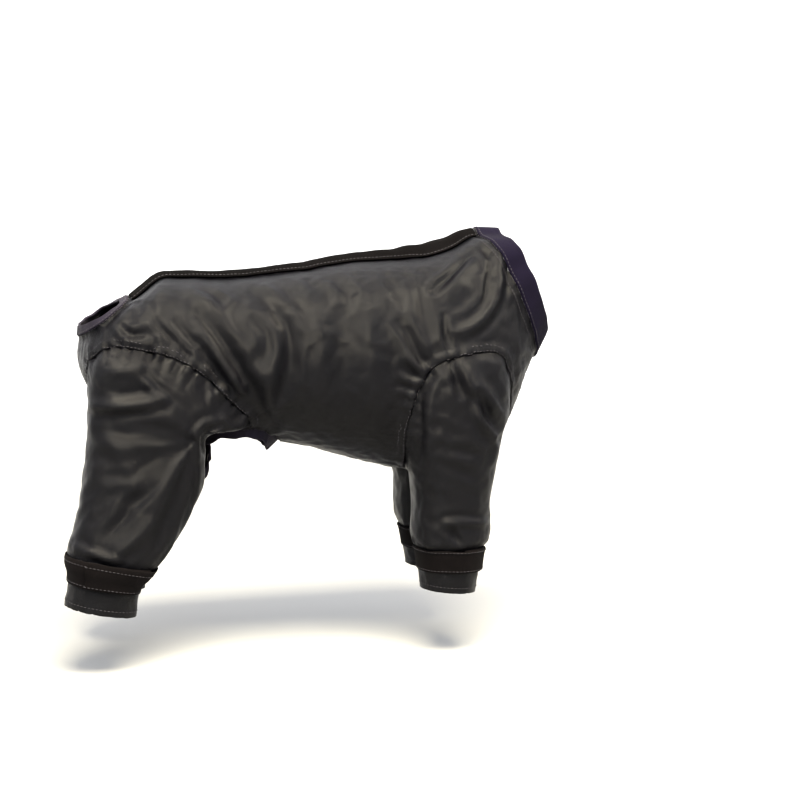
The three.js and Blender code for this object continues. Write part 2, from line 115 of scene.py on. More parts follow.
HIND_LEG_RINGS = [
    (0.02, 0, 0.52, -0.03, 0.56, 0.7),
    (-0.17, 0.06, 0.98, 0.01, 0.36, 0.86),
    (-0.23, 0.15, 1.38, 0.095, 0.25, 0.92),
    (-0.24, 0.22, 1.54, 0.205, 0.22, 0.94),
    (-0.25, 0.3, 1.68, 0.315, 0.21, 0.94),
    (-0.265, 0.36, 1.22, 0.35, 0.22, 0.94),
    (-0.29, 0.44, 1.17, 0.44, 0.22, 0.94),
    (-0.34, 0.55, 1.12, 0.56, 0.24, 0.945),
    (-0.43, 0.7, 0.81, 0.745, 0.27, 0.96),
    (-0.53, 0.81, 0.49, 0.88, 0.28, 0.97),
    (-0.5, 0.855, 0.37, 0.91, 0.3, 0.95),
    (-0.52, 0.92, 0.31, 0.975, 0.32, 0.94),
    (-0.56, 0.975, 0.3, 1.03, 0.34, 0.93),
]
CAP_SQUARENESS = 3
HEM_SQUARENESS = 2.2
FRONT_LEG = {
    "name": "front", "rings": FRONT_LEG_RINGS, "station": 0.116, "width": 0.060, "cap": -0.0721,
    "length": 0.196, "lead": 0.004, "stride": 0.010, "strap_end": 180, "strap_way": 1,
}
HIND_LEG = {
    "name": "hind", "rings": HIND_LEG_RINGS, "station": -0.164, "width": 0.066, "cap": -0.062,
    "length": 0.206, "lead": 0.012, "stride": 0.006, "strap_end": 60, "strap_way": -1,
}


# Tables and surfaces
def column_value(rows, columns, name, s):
    """Value of one column at share s down a table, on a smooth curve through its rows."""
    values = [row[columns.index(name)] for row in rows]
    place = min(max(s, 0), 1) * (len(values) - 1)
    i = min(int(place), len(values) - 2)
    t = place - i
    a, b, c, d = (values[min(max(k, 0), len(values) - 1)] for k in range(i - 1, i + 3))
    return b + 0.5 * t * (c - a + t * (2 * a - 5 * b + 4 * c - d + t * (3 * (b - c) + d - a)))


def ring(start, end, half, turns, squareness):
    """Points of a ring that stands on edge between two points of its own plane."""
    power = 2 / squareness
    across, aside = np.cos(turns), np.sin(turns)
    middle = (start + end) / 2
    points = middle + (np.sign(across) * np.abs(across) ** power)[:, None] * (start - middle)
    points[:, 1] += half * np.sign(aside) * np.abs(aside) ** power
    return points


def body_ring(s, turns):
    at = lambda name: column_value(BODY_RINGS, BODY_COLUMNS, name, s)
    top = np.array([at("top_x") * BODY_LENGTH, 0, at("top_z") * BODY_DEPTH + SUIT_LIFT])
    low = np.array([at("low_x") * BODY_LENGTH, 0, at("low_z") * BODY_DEPTH + SUIT_LIFT])
    return ring(top, low, at("half") * BODY_WIDTH / 2, turns, BODY_SQUARENESS)


def leg_ring(leg, side, s, turns):
    at = lambda name: column_value(leg["rings"], LEG_COLUMNS, name, s)
    ahead = leg["lead"] + leg["stride"] * max(0, at("rear_down")) if side > 0 else 0
    point = lambda x, down: np.array(
        [leg["station"] + x * leg["width"] + ahead, 0, leg["cap"] - down * leg["length"] + SUIT_LIFT]
    )
    start = point(at("rear"), at("rear_down"))
    end = point(at("front"), at("front_down"))
    start[1] = end[1] = side * (at("outer") + at("inner")) * BODY_WIDTH / 4
    half = (at("outer") - at("inner")) * BODY_WIDTH / 4
    return ring(start, end, half, turns, CAP_SQUARENESS + (HEM_SQUARENESS - CAP_SQUARENESS) * s)


def closed_form(rings):
    """Vertices and faces of rings joined into a closed form, with a fan over each end."""
    rows, around = len(rings), len(rings[0])
    points = np.vstack([*rings, rings[0].mean(0)[None], rings[-1].mean(0)[None]])
    faces = []
    for i in range(rows - 1):
        for j in range(around):
            a, b = i * around + j, i * around + (j + 1) % around
            faces.append((a, b, b + around, a + around))
    for j in range(around):
        faces.append(((j + 1) % around, j, rows * around))
        last = (rows - 1) * around
        faces.append((last + j, last + (j + 1) % around, rows * around + 1))
    return points, faces


def run_on(rings, end):
    """One more ring past an end, RUN_OUT further along the end ring's own axis."""
    last, inner = rings[end], rings[1 if end == 0 else -2]
    u = last[len(last) // 2] - last[0]
    axis = np.cross(u, [0, 1, 0])
    axis /= np.linalg.norm(axis)
    if np.dot(axis, last.mean(0) - inner.mean(0)) < 0:
        axis = -axis
    return last + RUN_OUT * axis


def mesh_object(name, points, faces):
    mesh = bpy.data.meshes.new(name)
    mesh.from_pydata([tuple(p) for p in points], [], faces)
    mesh.update()
    piece = bpy.data.objects.new(name, mesh)
    scene.collection.objects.link(piece)
    return piece


def form_of(name, rings, first):
    """A closed form with what is needed to find places on it. Its row numbers start at first."""
    points, faces = closed_form(rings)
    bm = bmesh.new()
    verts = [bm.verts.new(p) for p in points]
    for face in faces:
        bm.faces.new([verts[k] for k in face])
    bmesh.ops.recalc_face_normals(bm, faces=bm.faces)
    bm.verts.index_update()
    bm.faces.ensure_lookup_table()
    tree = BVHTree.FromBMesh(bm)
    mesh = bpy.data.meshes.new(name)
    bm.to_mesh(mesh)
    bm.free()
    return {"name": name, "rings": rings, "tree": tree, "mesh": mesh, "first": first}


def place_on(form, point):
    """Signed distance from a form's surface, and the row at which the nearest point lies."""
    near, normal, index, distance = form["tree"].find_nearest(point)
    side = 1 if (point - near).dot(normal) >= 0 else -1
    rings, around = form["rings"], len(form["rings"][0])
    row = min(index // around, len(rings) - 2)
    if index >= (len(rings) - 1) * around:
        fan = index - (len(rings) - 1) * around
        return side * distance, form["first"] + (0 if fan % 2 == 0 else len(rings) - 1)
    j = index % around
    a, b = rings[row][j], rings[row + 1][j]
    step = b - a
    t = float(np.dot(np.array(near) - a, step) / max(np.dot(step, step), 1e-12))
    return side * distance, form["first"] + row + min(max(t, 0), 1)


BODY_ROWS = 110
LEG_ROWS = 70
body_turns = np.linspace(0, 2 * math.pi, 97)[:-1]
leg_turns = np.linspace(0, 2 * math.pi, 65)[:-1]

body_rings = [body_ring(i / BODY_ROWS, body_turns) for i in range(BODY_ROWS + 1)]
body_rings = [run_on(body_rings, 0), *body_rings, run_on(body_rings, -1)]
body_form = form_of("body_form", body_rings, -1)
legs = []
for leg in (FRONT_LEG, HIND_LEG):
    for side, word in ((-1, "right"), (1, "left")):
        rings = [leg_ring(leg, side, i / LEG_ROWS, leg_turns) for i in range(LEG_ROWS + 1)]
        rings.append(run_on(rings, -1))
        legs.append({
            "leg": leg, "side": side, "sleeve": f"{leg['name']}_sleeve_{word}",
            "strap": f"{leg['name']}_strap_{word}", "form": form_of("leg_form", rings, 0),
        })


# One skin over all the forms
def evaluated_mesh(piece):
    """The piece's mesh as its modifiers leave it."""
    graph = bpy.context.evaluated_depsgraph_get()
    return bpy.data.meshes.new_from_object(piece.evaluated_get(graph))


def union_skin(forms, grain):
    """A skin of even mesh over several closed forms."""
    bm = bmesh.new()
    for form in forms:
        bm.from_mesh(form["mesh"])
    mesh = bpy.data.meshes.new("skin")
    bm.to_mesh(mesh)
    bm.free()
    skin = bpy.data.objects.new("skin", mesh)
    scene.collection.objects.link(skin)
    remesh = skin.modifiers.new("skin", "REMESH")
    remesh.mode = "VOXEL"
    remesh.voxel_size = grain
    result = evaluated_mesh(skin)
    bpy.data.objects.remove(skin)
    return result


def read_points(mesh):
    points = np.empty(len(mesh.vertices) * 3)
    mesh.vertices.foreach_get("co", points)
    return points.reshape(-1, 3)


def read_edges(mesh):
    edges = np.empty(len(mesh.edges) * 2, dtype=np.int64)
    mesh.edges.foreach_get("vertices", edges)
    return edges.reshape(-1, 2)


def neighbour_mean(values, edges):
    """Mean of each vertex's neighbours' values, which may be numbers or vectors."""
    values = values.reshape(len(values), -1)
    count = np.bincount(edges.ravel(), minlength=len(values))
    total = np.stack([
        np.bincount(edges[:, 0], values[edges[:, 1], k], len(values))
        + np.bincount(edges[:, 1], values[edges[:, 0], k], len(values))
        for k in range(values.shape[1])
    ], axis=1)
    return total / np.maximum(count, 1)[:, None]


def smoothed(values, edges, rounds, amount=0.5):
    shape = values.shape
    values = values.reshape(len(values), -1).astype(float)
    for _ in range(rounds):
        step = neighbour_mean(values, edges) - values
        values = values + (amount if np.isscalar(amount) else amount[:, None]) * step
    return values.reshape(shape)


FAR = 1.0  # further than any point is from a leg
LEG_BOX_MARGIN = 0.012
SEAM_REACH = 0.03  # distances from the forms are compared up to this one
CORNER_REACH = 0.006  # how close to both forms the skin is smoothed where they meet
skin_mesh = union_skin([body_form, *(limb["form"] for limb in legs)], SKIN_GRAIN)
skin_points = read_points(skin_mesh)
skin_edges = read_edges(skin_mesh)
skin_points = smoothed(skin_points, skin_edges, 2)


def measure_skin(points):
    """Distances from the body and from the nearest leg, that leg's number, and the rows."""
    count = len(points)
    body_far, body_row = np.empty(count), np.empty(count)
    leg_far, leg_row = np.full(count, FAR), np.zeros(count)
    leg_number = np.full(count, -1)
    clouds = [np.vstack(limb["form"]["rings"]) for limb in legs]
    lows = [cloud.min(0) - LEG_BOX_MARGIN for cloud in clouds]
    highs = [cloud.max(0) + LEG_BOX_MARGIN for cloud in clouds]
    for k, point in enumerate(points):
        at = Vector(point)
        body_far[k], body_row[k] = place_on(body_form, at)
        for n, limb in enumerate(legs):
            if (point < lows[n]).any() or (point > highs[n]).any():
                continue
            far, row = place_on(limb["form"], at)
            if far < leg_far[k]:
                leg_far[k], leg_row[k], leg_number[k] = far, row, n
    return body_far, body_row, leg_far, leg_row, leg_number


body_far, body_row, leg_far, leg_row, leg_number = measure_skin(skin_points)
seam_level = np.clip(leg_far, -SEAM_REACH, SEAM_REACH) - np.clip(body_far, -SEAM_REACH, SEAM_REACH)
seam_level = smoothed(seam_level, skin_edges, 6)
body_row = smoothed(body_row, skin_edges, 3)
leg_row = smoothed(leg_row, skin_edges, 3)
closeness = np.exp(-((np.abs(leg_far) + np.abs(body_far)) / CORNER_REACH) ** 2)
skin_points = smoothed(skin_points, skin_edges, 12, 0.5 * closeness)


# Cuts: the skin's faces are split along lines where a level is nought
def cut_along(bm, level, snap=0.22):
    """Splits faces along the zero line of a level, which is given for each vertex's index."""
    crossed = []
    for edge in bm.edges:
        a, b = edge.verts
        if level[a] * level[b] < 0:
            crossed.append(edge)
    for edge in crossed:
        a, b = edge.verts
        if level[a] * level[b] >= 0:
            continue
        t = level[a] / (level[a] - level[b])
        if t < snap:
            a.co = a.co.lerp(b.co, t)
            level[a] = 0.0
        elif t > 1 - snap:
            b.co = b.co.lerp(a.co, 1 - t)
            level[b] = 0.0
    for edge in crossed:
        a, b = edge.verts
        if level[a] * level[b] < 0:
            t = level[a] / (level[a] - level[b])
            _, middle = bmesh.utils.edge_split(edge, a, t)
            level[middle] = 0.0
            carry(bm, middle, a, b, t)
    on_line = [v for v in bm.verts if level[v] == 0.0]
    for face in dict.fromkeys(f for v in on_line for f in v.link_faces):  # in the same order each run
        split_face(bm, face, level)
    return level


def carry(bm, middle, a, b, t):
    """Gives a new vertex the values between its edge's ends."""
    for layer in bm.verts.layers.float.values():
        middle[layer] = a[layer] * (1 - t) + b[layer] * t
    for layer in bm.verts.layers.int.values():
        middle[layer] = a[layer]


def split_face(bm, face, level):
    corners = list(face.verts)
    signs = {math.copysign(1, level[v]) for v in corners if level[v] != 0.0}
    if len(signs) < 2:
        return
    zeros = [k for k, v in enumerate(corners) if level[v] == 0.0]
    for i in range(len(zeros)):
        for j in range(i + 1, len(zeros)):
            gap = zeros[j] - zeros[i]
            if 1 < gap < len(corners) - 1:
                bmesh.utils.face_split(face, corners[zeros[i]], corners[zeros[j]])
                return


bm = bmesh.new()
bm.from_mesh(skin_mesh)
bm.verts.ensure_lookup_table()
layer_body_row = bm.verts.layers.float.new("body_row")
layer_leg_row = bm.verts.layers.float.new("leg_row")
layer_seam = bm.verts.layers.float.new("seam")
layer_leg = bm.verts.layers.int.new("leg")
for k, vert in enumerate(bm.verts):
    vert.co = skin_points[k]
    vert[layer_body_row] = body_row[k]
    vert[layer_leg_row] = leg_row[k]
    vert[layer_seam] = seam_level[k]
    vert[layer_leg] = int(leg_number[k])


def side_of(face, level):
    """1 or -1, the side of the zero line that a face lies on."""
    return 1 if sum(level[v] for v in face.verts) > 0 else -1


PANEL_RIGHT, PANEL_LEFT = 4, 5  # pieces' numbers, after the four sleeves in the order of legs
piece_layer = bm.faces.layers.int.new("piece")

seam = cut_along(bm, {v: v[layer_seam] for v in bm.verts})
for face in bm.faces:
    if side_of(face, seam) < 0:
        face[piece_layer] = min(face.verts, key=lambda v: seam[v])[layer_leg]
    else:
        face[piece_layer] = PANEL_RIGHT


def cut_and_drop(bm, level, chosen):
    """Cuts along a level and drops the faces above it among those that chosen picks."""
    level = cut_along(bm, level)
    dropped = [f for f in bm.faces if chosen(f) and side_of(f, level) > 0]
    bmesh.ops.delete(bm, geom=dropped, context="FACES")


def is_sleeve(face):
    return face[piece_layer] < PANEL_RIGHT


def is_body(face):
    return face[piece_layer] >= PANEL_RIGHT


past_hem = {v: v[layer_leg_row] - LEG_ROWS if v[layer_leg] >= 0 else -1.0 for v in bm.verts}
cut_and_drop(bm, past_hem, is_sleeve)
cut_and_drop(bm, {v: v[layer_body_row] - BODY_ROWS for v in bm.verts}, is_body)
cut_and_drop(bm, {v: -v[layer_body_row] for v in bm.verts}, is_body)


CUT_OUT_SLACK = 0.01  # how far over its ceiling the cut-out's oval is still looked for


def cut_out_level(vert):
    """Above nought inside the oval of the cut-out, on the belly's side of the body."""
    x = (vert.co.x - CUT_OUT_STATION) / (CUT_OUT_LENGTH / 2)
    y = vert.co.y / (CUT_OUT_WIDTH / 2)
    return 1 - x * x - y * y if vert.co.z < CUT_OUT_CEILING + CUT_OUT_SLACK else -1.0


in_cut_out = {v: cut_out_level(v) for v in bm.verts}
cut_and_drop(bm, in_cut_out, lambda face: face.calc_center_median().z < CUT_OUT_CEILING)
centre = cut_along(bm, {v: v.co.y for v in bm.verts})
for face in bm.faces:
    if face[piece_layer] == PANEL_RIGHT and side_of(face, centre) > 0:
        face[piece_layer] = PANEL_LEFT
bmesh.ops.delete(bm, geom=[v for v in bm.verts if not v.link_faces], context="VERTS")


# Lines between the pieces, as runs of vertex numbers
SPINE_ABOVE = -0.07  # height between the spine's line and the keel's
END_ROWS = 1.5  # an edge this close to an end's row belongs to that end


def runs_of(edges):
    """Edges joined end to end into runs of vertices, with the longest first."""
    links = {}
    for a, b in edges:
        links.setdefault(a, []).append(b)
        links.setdefault(b, []).append(a)
    runs, used = [], set()
    starts = [v for v in links if len(links[v]) == 1] + list(links)
    for start in starts:
        if start in used:
            continue
        run = [start]
        used.add(start)
        while True:
            following = [v for v in links[run[-1]] if v not in used]
            if not following:
                break
            run.append(following[0])
            used.add(following[0])
        closed = run[0] in links[run[-1]] and len(run) > 2
        runs.append((run, closed))
    return sorted(runs, key=lambda r: -len(r[0]))


def line_name(edge):
    """The line that an edge lies on, or None inside a piece."""
    owners = sorted(face[piece_layer] for face in edge.link_faces)
    body_rows = [v[layer_body_row] for v in edge.verts]
    leg_rows = [v[layer_leg_row] for v in edge.verts]
    if owners == [PANEL_RIGHT, PANEL_LEFT]:
        return "spine" if edge.verts[0].co.z > SPINE_ABOVE else "keel"
    if len(owners) == 2:
        return f"seam_{owners[0]}" if owners[0] < PANEL_RIGHT <= owners[1] else None
    if len(owners) != 1:
        return None
    if owners[0] < PANEL_RIGHT:
        return f"hem_{owners[0]}" if min(leg_rows) > LEG_ROWS - END_ROWS else "cut_out"
    if min(body_rows) > BODY_ROWS - END_ROWS:
        return "neck"
    return "tail" if max(body_rows) < END_ROWS else "cut_out"


bm.verts.index_update()
bm.faces.index_update()
line_edges = {}
for edge in bm.edges:
    name = line_name(edge)
    if name is not None:
        line_edges.setdefault(name, []).append((edge.verts[0].index, edge.verts[1].index))
lines = {name: runs_of(edges)[0] for name, edges in line_edges.items()}

cloth_mesh = bpy.data.meshes.new("cloth")
bm.to_mesh(cloth_mesh)
bm.free()


def read_values(mesh, name, domain, kind=np.float32):
    values = np.empty(len(getattr(mesh, domain)), dtype=kind)
    mesh.attributes[name].data.foreach_get("value", values)
    return values


def read_normals(mesh):
    normals = np.empty(len(mesh.vertices) * 3)
    mesh.vertex_normals.foreach_get("vector", normals)
    return normals.reshape(-1, 3)


def write_points(mesh, points):
    mesh.vertices.foreach_set("co", points.ravel())
    mesh.update()


face_piece = read_values(cloth_mesh, "piece", "polygons", np.int32)
on_leg_row = read_values(cloth_mesh, "leg_row", "vertices").astype(float)
cloth_edges = read_edges(cloth_mesh)
base_points = read_points(cloth_mesh)
base_normals = read_normals(cloth_mesh)
owner = np.full(len(base_points), PANEL_RIGHT)
for polygon, number in zip(cloth_mesh.polygons, face_piece):
    if number < PANEL_RIGHT:
        owner[list(polygon.vertices)] = number
on_sleeve = owner < PANEL_RIGHT
outward_side = np.array([limb["side"] for limb in legs] + [0, 0])[owner]

# Folds on the side view, in millimetres. Each row says where the fold is, its half width, its
# height, which is negative in a valley, and its path as x and z. Both sides have them, and the
# left side's lie a little off.
FOLDS = [
    ("body", 6.0, -5.0, [
        (-63, -11), (-44, -19), (-30, -35), (-23, -48), (-22, -67), (-25, -84), (-29, -99),
    ]),
    ("body", 8.5, 2.6, [(-80, -24), (-61, -38), (-49, -59), (-40, -83), (-34, -104)]),
    ("body", 5.5, -5.2, [(-92, -33), (-80, -47), (-66, -68), (-54, -89), (-46, -112), (-34, -124)]),
    ("body", 3.6, -3.2, [(-91, -64), (-80, -79), (-66, -96), (-53, -112)]),
    ("body", 3.4, 1.8, [(-94, -40), (-73, -73), (-59, -94)]),
    ("body", 3.0, -1.6, [(-126, -41), (-115, -53)]),
    ("body", 3.2, -2.2, [(-110, -40), (-94, -60)]),
    ("body", 3.0, 1.9, [(-143, -28), (-155, -41), (-153, -53), (-138, -56), (-125, -53)]),
    ("body", 3.0, -2.0, [(-156, -38), (-152, -47), (-144, -50), (-135, -47)]),
    ("body", 3.0, -2.0, [(-90, -14), (-71, -22)]),
    ("body", 5.0, 1.5, [(-98, -20), (-76, -30)]),
    ("body", 4.2, 4.0, [
        (130, 14), (147, 25), (155, 17), (158, 4), (154, -14), (147, -30), (132, -45), (116, -51),
    ]),
    ("body", 3.2, -4.2, [(97, -17), (109, -9), (122, 2), (130, 10), (139, 15), (145, 16), (148, 12)]),
    ("body", 3.0, -1.4, [(150, 10), (146, -6), (139, -28)]),
    ("body", 6.0, 2.4, [(104, -22), (120, -14), (134, -2)]),
    ("body", 5.0, -2.4, [(85, -18), (87, -33), (88, -49)]),
    ("body", 2.6, -2.8, [(103, -39), (104, -53), (107, -65)]),
    ("body", 4.5, -3.4, [(69, -44), (80, -68), (88, -77)]),
    ("body", 3.2, -2.4, [(67, -79), (81, -88)]),
    ("body", 2.8, -1.8, [(64, -92), (79, -97)]),
    ("body", 3.4, 2.0, [(72, -70), (86, -82)]),
    ("body", 5.0, -1.6, [(17, -6), (29, -17), (23, -32)]),
    ("body", 5.0, -1.4, [(61, -6), (69, -25)]),
    ("body", 9.0, 2.0, [(-10, -12), (2, -50), (-4, -104)]),
    ("body", 10.0, 1.8, [(45, -12), (40, -60), (50, -120)]),
    ("body", 9.0, -1.6, [(22, -40), (20, -80), (28, -128)]),
    ("body", 3.2, 2.2, [(78, -103), (77, -122), (80, -143)]),
    ("sleeve", 3.4, 3.0, [(114, -78), (120, -91), (125, -102), (127, -108), (131, -122), (144, -136)]),
    ("sleeve", 4.6, -4.4, [(128, -104), (137, -117), (146, -127)]),
    ("sleeve", 6.0, 2.6, [(116, -79), (141, -111)]),
    ("sleeve", 3.6, -2.6, [(108, -73), (113, -102)]),
    ("sleeve", 4.0, -3.4, [(89, -84), (81, -102), (82, -130), (82, -168)]),
    ("sleeve", 5.0, -1.5, [(102, -142), (126, -151)]),
    ("sleeve", 4.5, -1.1, [(100, -156), (124, -167)]),
    ("sleeve", 4.5, -1.1, [(98, -126), (118, -139)]),
    ("sleeve", 3.0, 2.0, [(104, -207), (121, -206), (138, -209)]),
    ("sleeve", 3.0, -2.8, [(107, -212), (115, -223)]),
    ("sleeve", 4.0, 2.0, [(143, -140), (149, -147), (146, -158)]),
    ("sleeve", 4.0, 3.0, [(-176, -104), (-150, -103), (-126, -99)]),
    ("sleeve", 6.5, -3.0, [(-172, -93), (-152, -93), (-137, -91)]),
    ("sleeve", 3.0, 1.8, [(-126, -100), (-141, -82)]),
    ("sleeve", 4.0, 1.6, [(-162, -77), (-136, -73)]),
    ("sleeve", 3.2, 2.8, [(-84, -116), (-96, -119), (-101, -131), (-97, -150)]),
    ("sleeve", 3.4, -3.6, [(-89, -122), (-91, -133), (-88, -147)]),
    ("sleeve", 7.0, -2.2, [(-186, -126), (-174, -140), (-166, -152)]),
    ("sleeve", 6.0, 1.8, [(-178, -122), (-160, -142), (-150, -168)]),
    ("sleeve", 3.4, 2.8, [(-193, -215), (-174, -222), (-163, -227)]),
    ("sleeve", 3.0, -2.8, [(-182, -224), (-168, -229), (-156, -232)]),
    ("sleeve", 5.0, 2.0, [(-138, -200), (-152, -213), (-167, -222)]),
    ("sleeve", 8.0, 2.0, [(-120, -150), (-128, -178), (-140, -206)]),
    ("sleeve", 5.0, -1.6, [(-150, -178), (-158, -196), (-172, -208)]),
]
LEFT_SIDE_SHIFT = (5.0, -4.0)
LEFT_SIDE_SHARE = 0.8
NEXT_PIECE_SHARE = 0.25  # how much of a fold runs on over a seam
TROUGH = 0.28  # a fold's own height is 1, and a shallow trough runs along each side of it
TROUGH_PLACE, TROUGH_WIDTH = 2.0, 0.8  # in half widths of the fold
FOLD_FACING = 0.6  # power with which folds fade where the cloth turns away from the side view
FOLD_END = 0.12  # how far into half a wave a fold begins and ends
FOLD_FADE = 0.8  # power of that wave


def travelled(points):
    """Distance along a row of points, at each of them."""
    return np.concatenate([[0], np.cumsum(np.linalg.norm(np.diff(points, axis=0), axis=1))])


def rounded_path(path, rounds=2):
    """A path with its corners cut, as a smooth line of short steps."""
    path = np.array(path, float)
    for _ in range(rounds):
        a, b = path[:-1], path[1:]
        middle = np.empty((2 * len(a), path.shape[1]))
        middle[0::2] = 0.75 * a + 0.25 * b
        middle[1::2] = 0.25 * a + 0.75 * b
        path = np.vstack([path[:1], middle, path[-1:]])
    return path


def nearest_on_path(points, path):
    """Distance from a path and share along it, for points of the side view."""
    best = np.full(len(points), np.inf)
    share = np.zeros(len(points))
    along = travelled(path)
    for i in range(len(path) - 1):
        a, step = path[i], path[i + 1] - path[i]
        t = np.clip((points - a) @ step / max(step @ step, 1e-12), 0, 1)
        far = np.linalg.norm(points - a - t[:, None] * step, axis=1)
        closer = far < best
        best[closer] = far[closer]
        share[closer] = ((along[i] + t * np.linalg.norm(step)) / along[-1])[closer]
    return best, share


def fold_heights(points, normals):
    """How far the folds lift each vertex along its normal."""
    lift = np.zeros(len(points))
    side_view = points[:, [0, 2]] * 1000
    left = points[:, 1] > 0
    side_view[left] -= np.array(LEFT_SIDE_SHIFT)
    outward = np.where(on_sleeve, outward_side, np.sign(points[:, 1]))
    facing = np.clip(outward * normals[:, 1], 0, 1) ** FOLD_FACING
    for where, reach, rise, path in FOLDS:
        weight = np.where(on_sleeve == (where == "sleeve"), 1.0, NEXT_PIECE_SHARE)
        path = rounded_path(path)
        box_low, box_high = path.min(0) - 4 * reach, path.max(0) + 4 * reach
        index = np.flatnonzero(((side_view > box_low) & (side_view < box_high)).all(axis=1))
        far, share = nearest_on_path(side_view[index], path)
        u = far / reach
        profile = np.exp(-u * u) - TROUGH * np.exp(-((u - TROUGH_PLACE) / TROUGH_WIDTH) ** 2)
        fade = np.sin(math.pi * (FOLD_END + (1 - 2 * FOLD_END) * share)) ** FOLD_FADE
        lift[index] += rise / 1000 * (profile * fade * weight[index] * facing[index])
    lift[left] *= LEFT_SIDE_SHARE
    return lift


# The closure stands up along the spine, and the panels fall away from it on both sides. Each row
# gives a place along X and the ridge's rise there, in millimetres.
RIDGE = [(-146, 0), (-128, 4.5), (-60, 6), (40, 6), (100, 11), (138, 8), (158, 3)]
RIDGE_TOP, RIDGE_EDGE = 0.003, 0.017  # distances from the spine to the ridge's top and foot
RIDGE_FADE = 0.03  # how far down the flanks the panels' fall fades out


def smoothstep(low, high, value):
    """0 below low and 1 above high, with a smooth rise between them."""
    t = np.clip((value - low) / (high - low), 0, 1)
    return t * t * (3 - 2 * t)


def ridge_drop(points, normals):
    """How far each vertex lies below the ridge's own height."""
    place, rise = np.array(RIDGE).T / 1000
    aside = np.abs(points[:, 1])
    beyond = np.maximum(aside - RIDGE_EDGE, 0)
    shape = smoothstep(RIDGE_TOP, RIDGE_EDGE, aside) * np.exp(-(beyond / RIDGE_FADE) ** 2)
    upward = smoothstep(0.1, 0.7, normals[:, 2]) * ~on_sleeve
    return np.interp(points[:, 0], place, rise) * shape * upward


cloth_points = base_points + fold_heights(base_points, base_normals)[:, None] * base_normals
cloth_points[:, 2] -= ridge_drop(base_points, base_normals)
write_points(cloth_mesh, cloth_points)


# Slack: a coarser skin is simulated a little longer than its patterns, over the forms, which are
# drawn in to leave it room, so that it buckles into creases of its own. The cloth takes them over.
SLACK = 0.035
SLACK_FRAMES = 22
SLACK_REACH = 0.005  # the furthest that a point may move
SLACK_GRAIN = 0.0042
SLACK_SHARE = 0.85
FORM_DRAW_IN = 0.0045
HOLD, SEAM_HOLD = 0.15, 0.7  # how firmly the simulation holds open cloth and seams
HOLD_REACH = 0.004
SETTLED_REACH = 0.01  # how far the folds' lift runs on over the parts that are cut away
COLLISION_GAP = 0.001
FORM_FRICTION = 8
NEAR_POINTS, NEAR_BLUR = 5, 0.0006  # how the fine skin takes over the coarse one's movement
CLOTH_SETTINGS = {
    "quality": 6, "mass": 0.002, "air_damping": 0.2, "tension_stiffness": 20,
    "compression_stiffness": 20, "shear_stiffness": 8, "bending_stiffness": 0.05,
    "shrink_min": -SLACK, "vertex_group_mass": "held", "pin_stiffness": 1.0,
}


def tree_of(points):
    tree = KDTree(len(points))
    for k, point in enumerate(points):
        tree.insert(point, k)
    tree.balance()
    return tree


def line_points(names):
    return cloth_points[[v for name in names for v in lines[name][0]]]


def distance_to(points, marks):
    """Each point's distance from the nearest mark."""
    tree = tree_of(marks)
    return np.array([tree.find(p)[2] for p in points])


def inner_form(form):
    """A body or leg for the simulation, a little slimmer than the skin over it."""
    mesh = form["mesh"].copy()
    write_points(mesh, read_points(mesh) - FORM_DRAW_IN * read_normals(mesh))
    piece = bpy.data.objects.new("inner_form", mesh)
    scene.collection.objects.link(piece)
    piece.modifiers.new("collision", "COLLISION")
    piece.collision.thickness_outer = COLLISION_GAP
    piece.collision.cloth_friction = FORM_FRICTION
    return piece


EDGE_LINES = [name for name in lines if name in ("neck", "tail", "cut_out") or "hem" in name]
SEAM_LINES = [name for name in lines if "seam" in name or name in ("spine", "keel")]


def held_weights(points, from_cloth):
    """How firmly each vertex is held: wholly at and past the edges, less at the seams."""
    edges = distance_to(points, line_points(EDGE_LINES))
    seams = distance_to(points, line_points(SEAM_LINES))
    weights = np.maximum(HOLD, SEAM_HOLD * np.exp(-(seams / HOLD_REACH) ** 2))
    return np.where((edges < HOLD_REACH) | (from_cloth > 1.5 * SLACK_GRAIN), 1.0, weights)


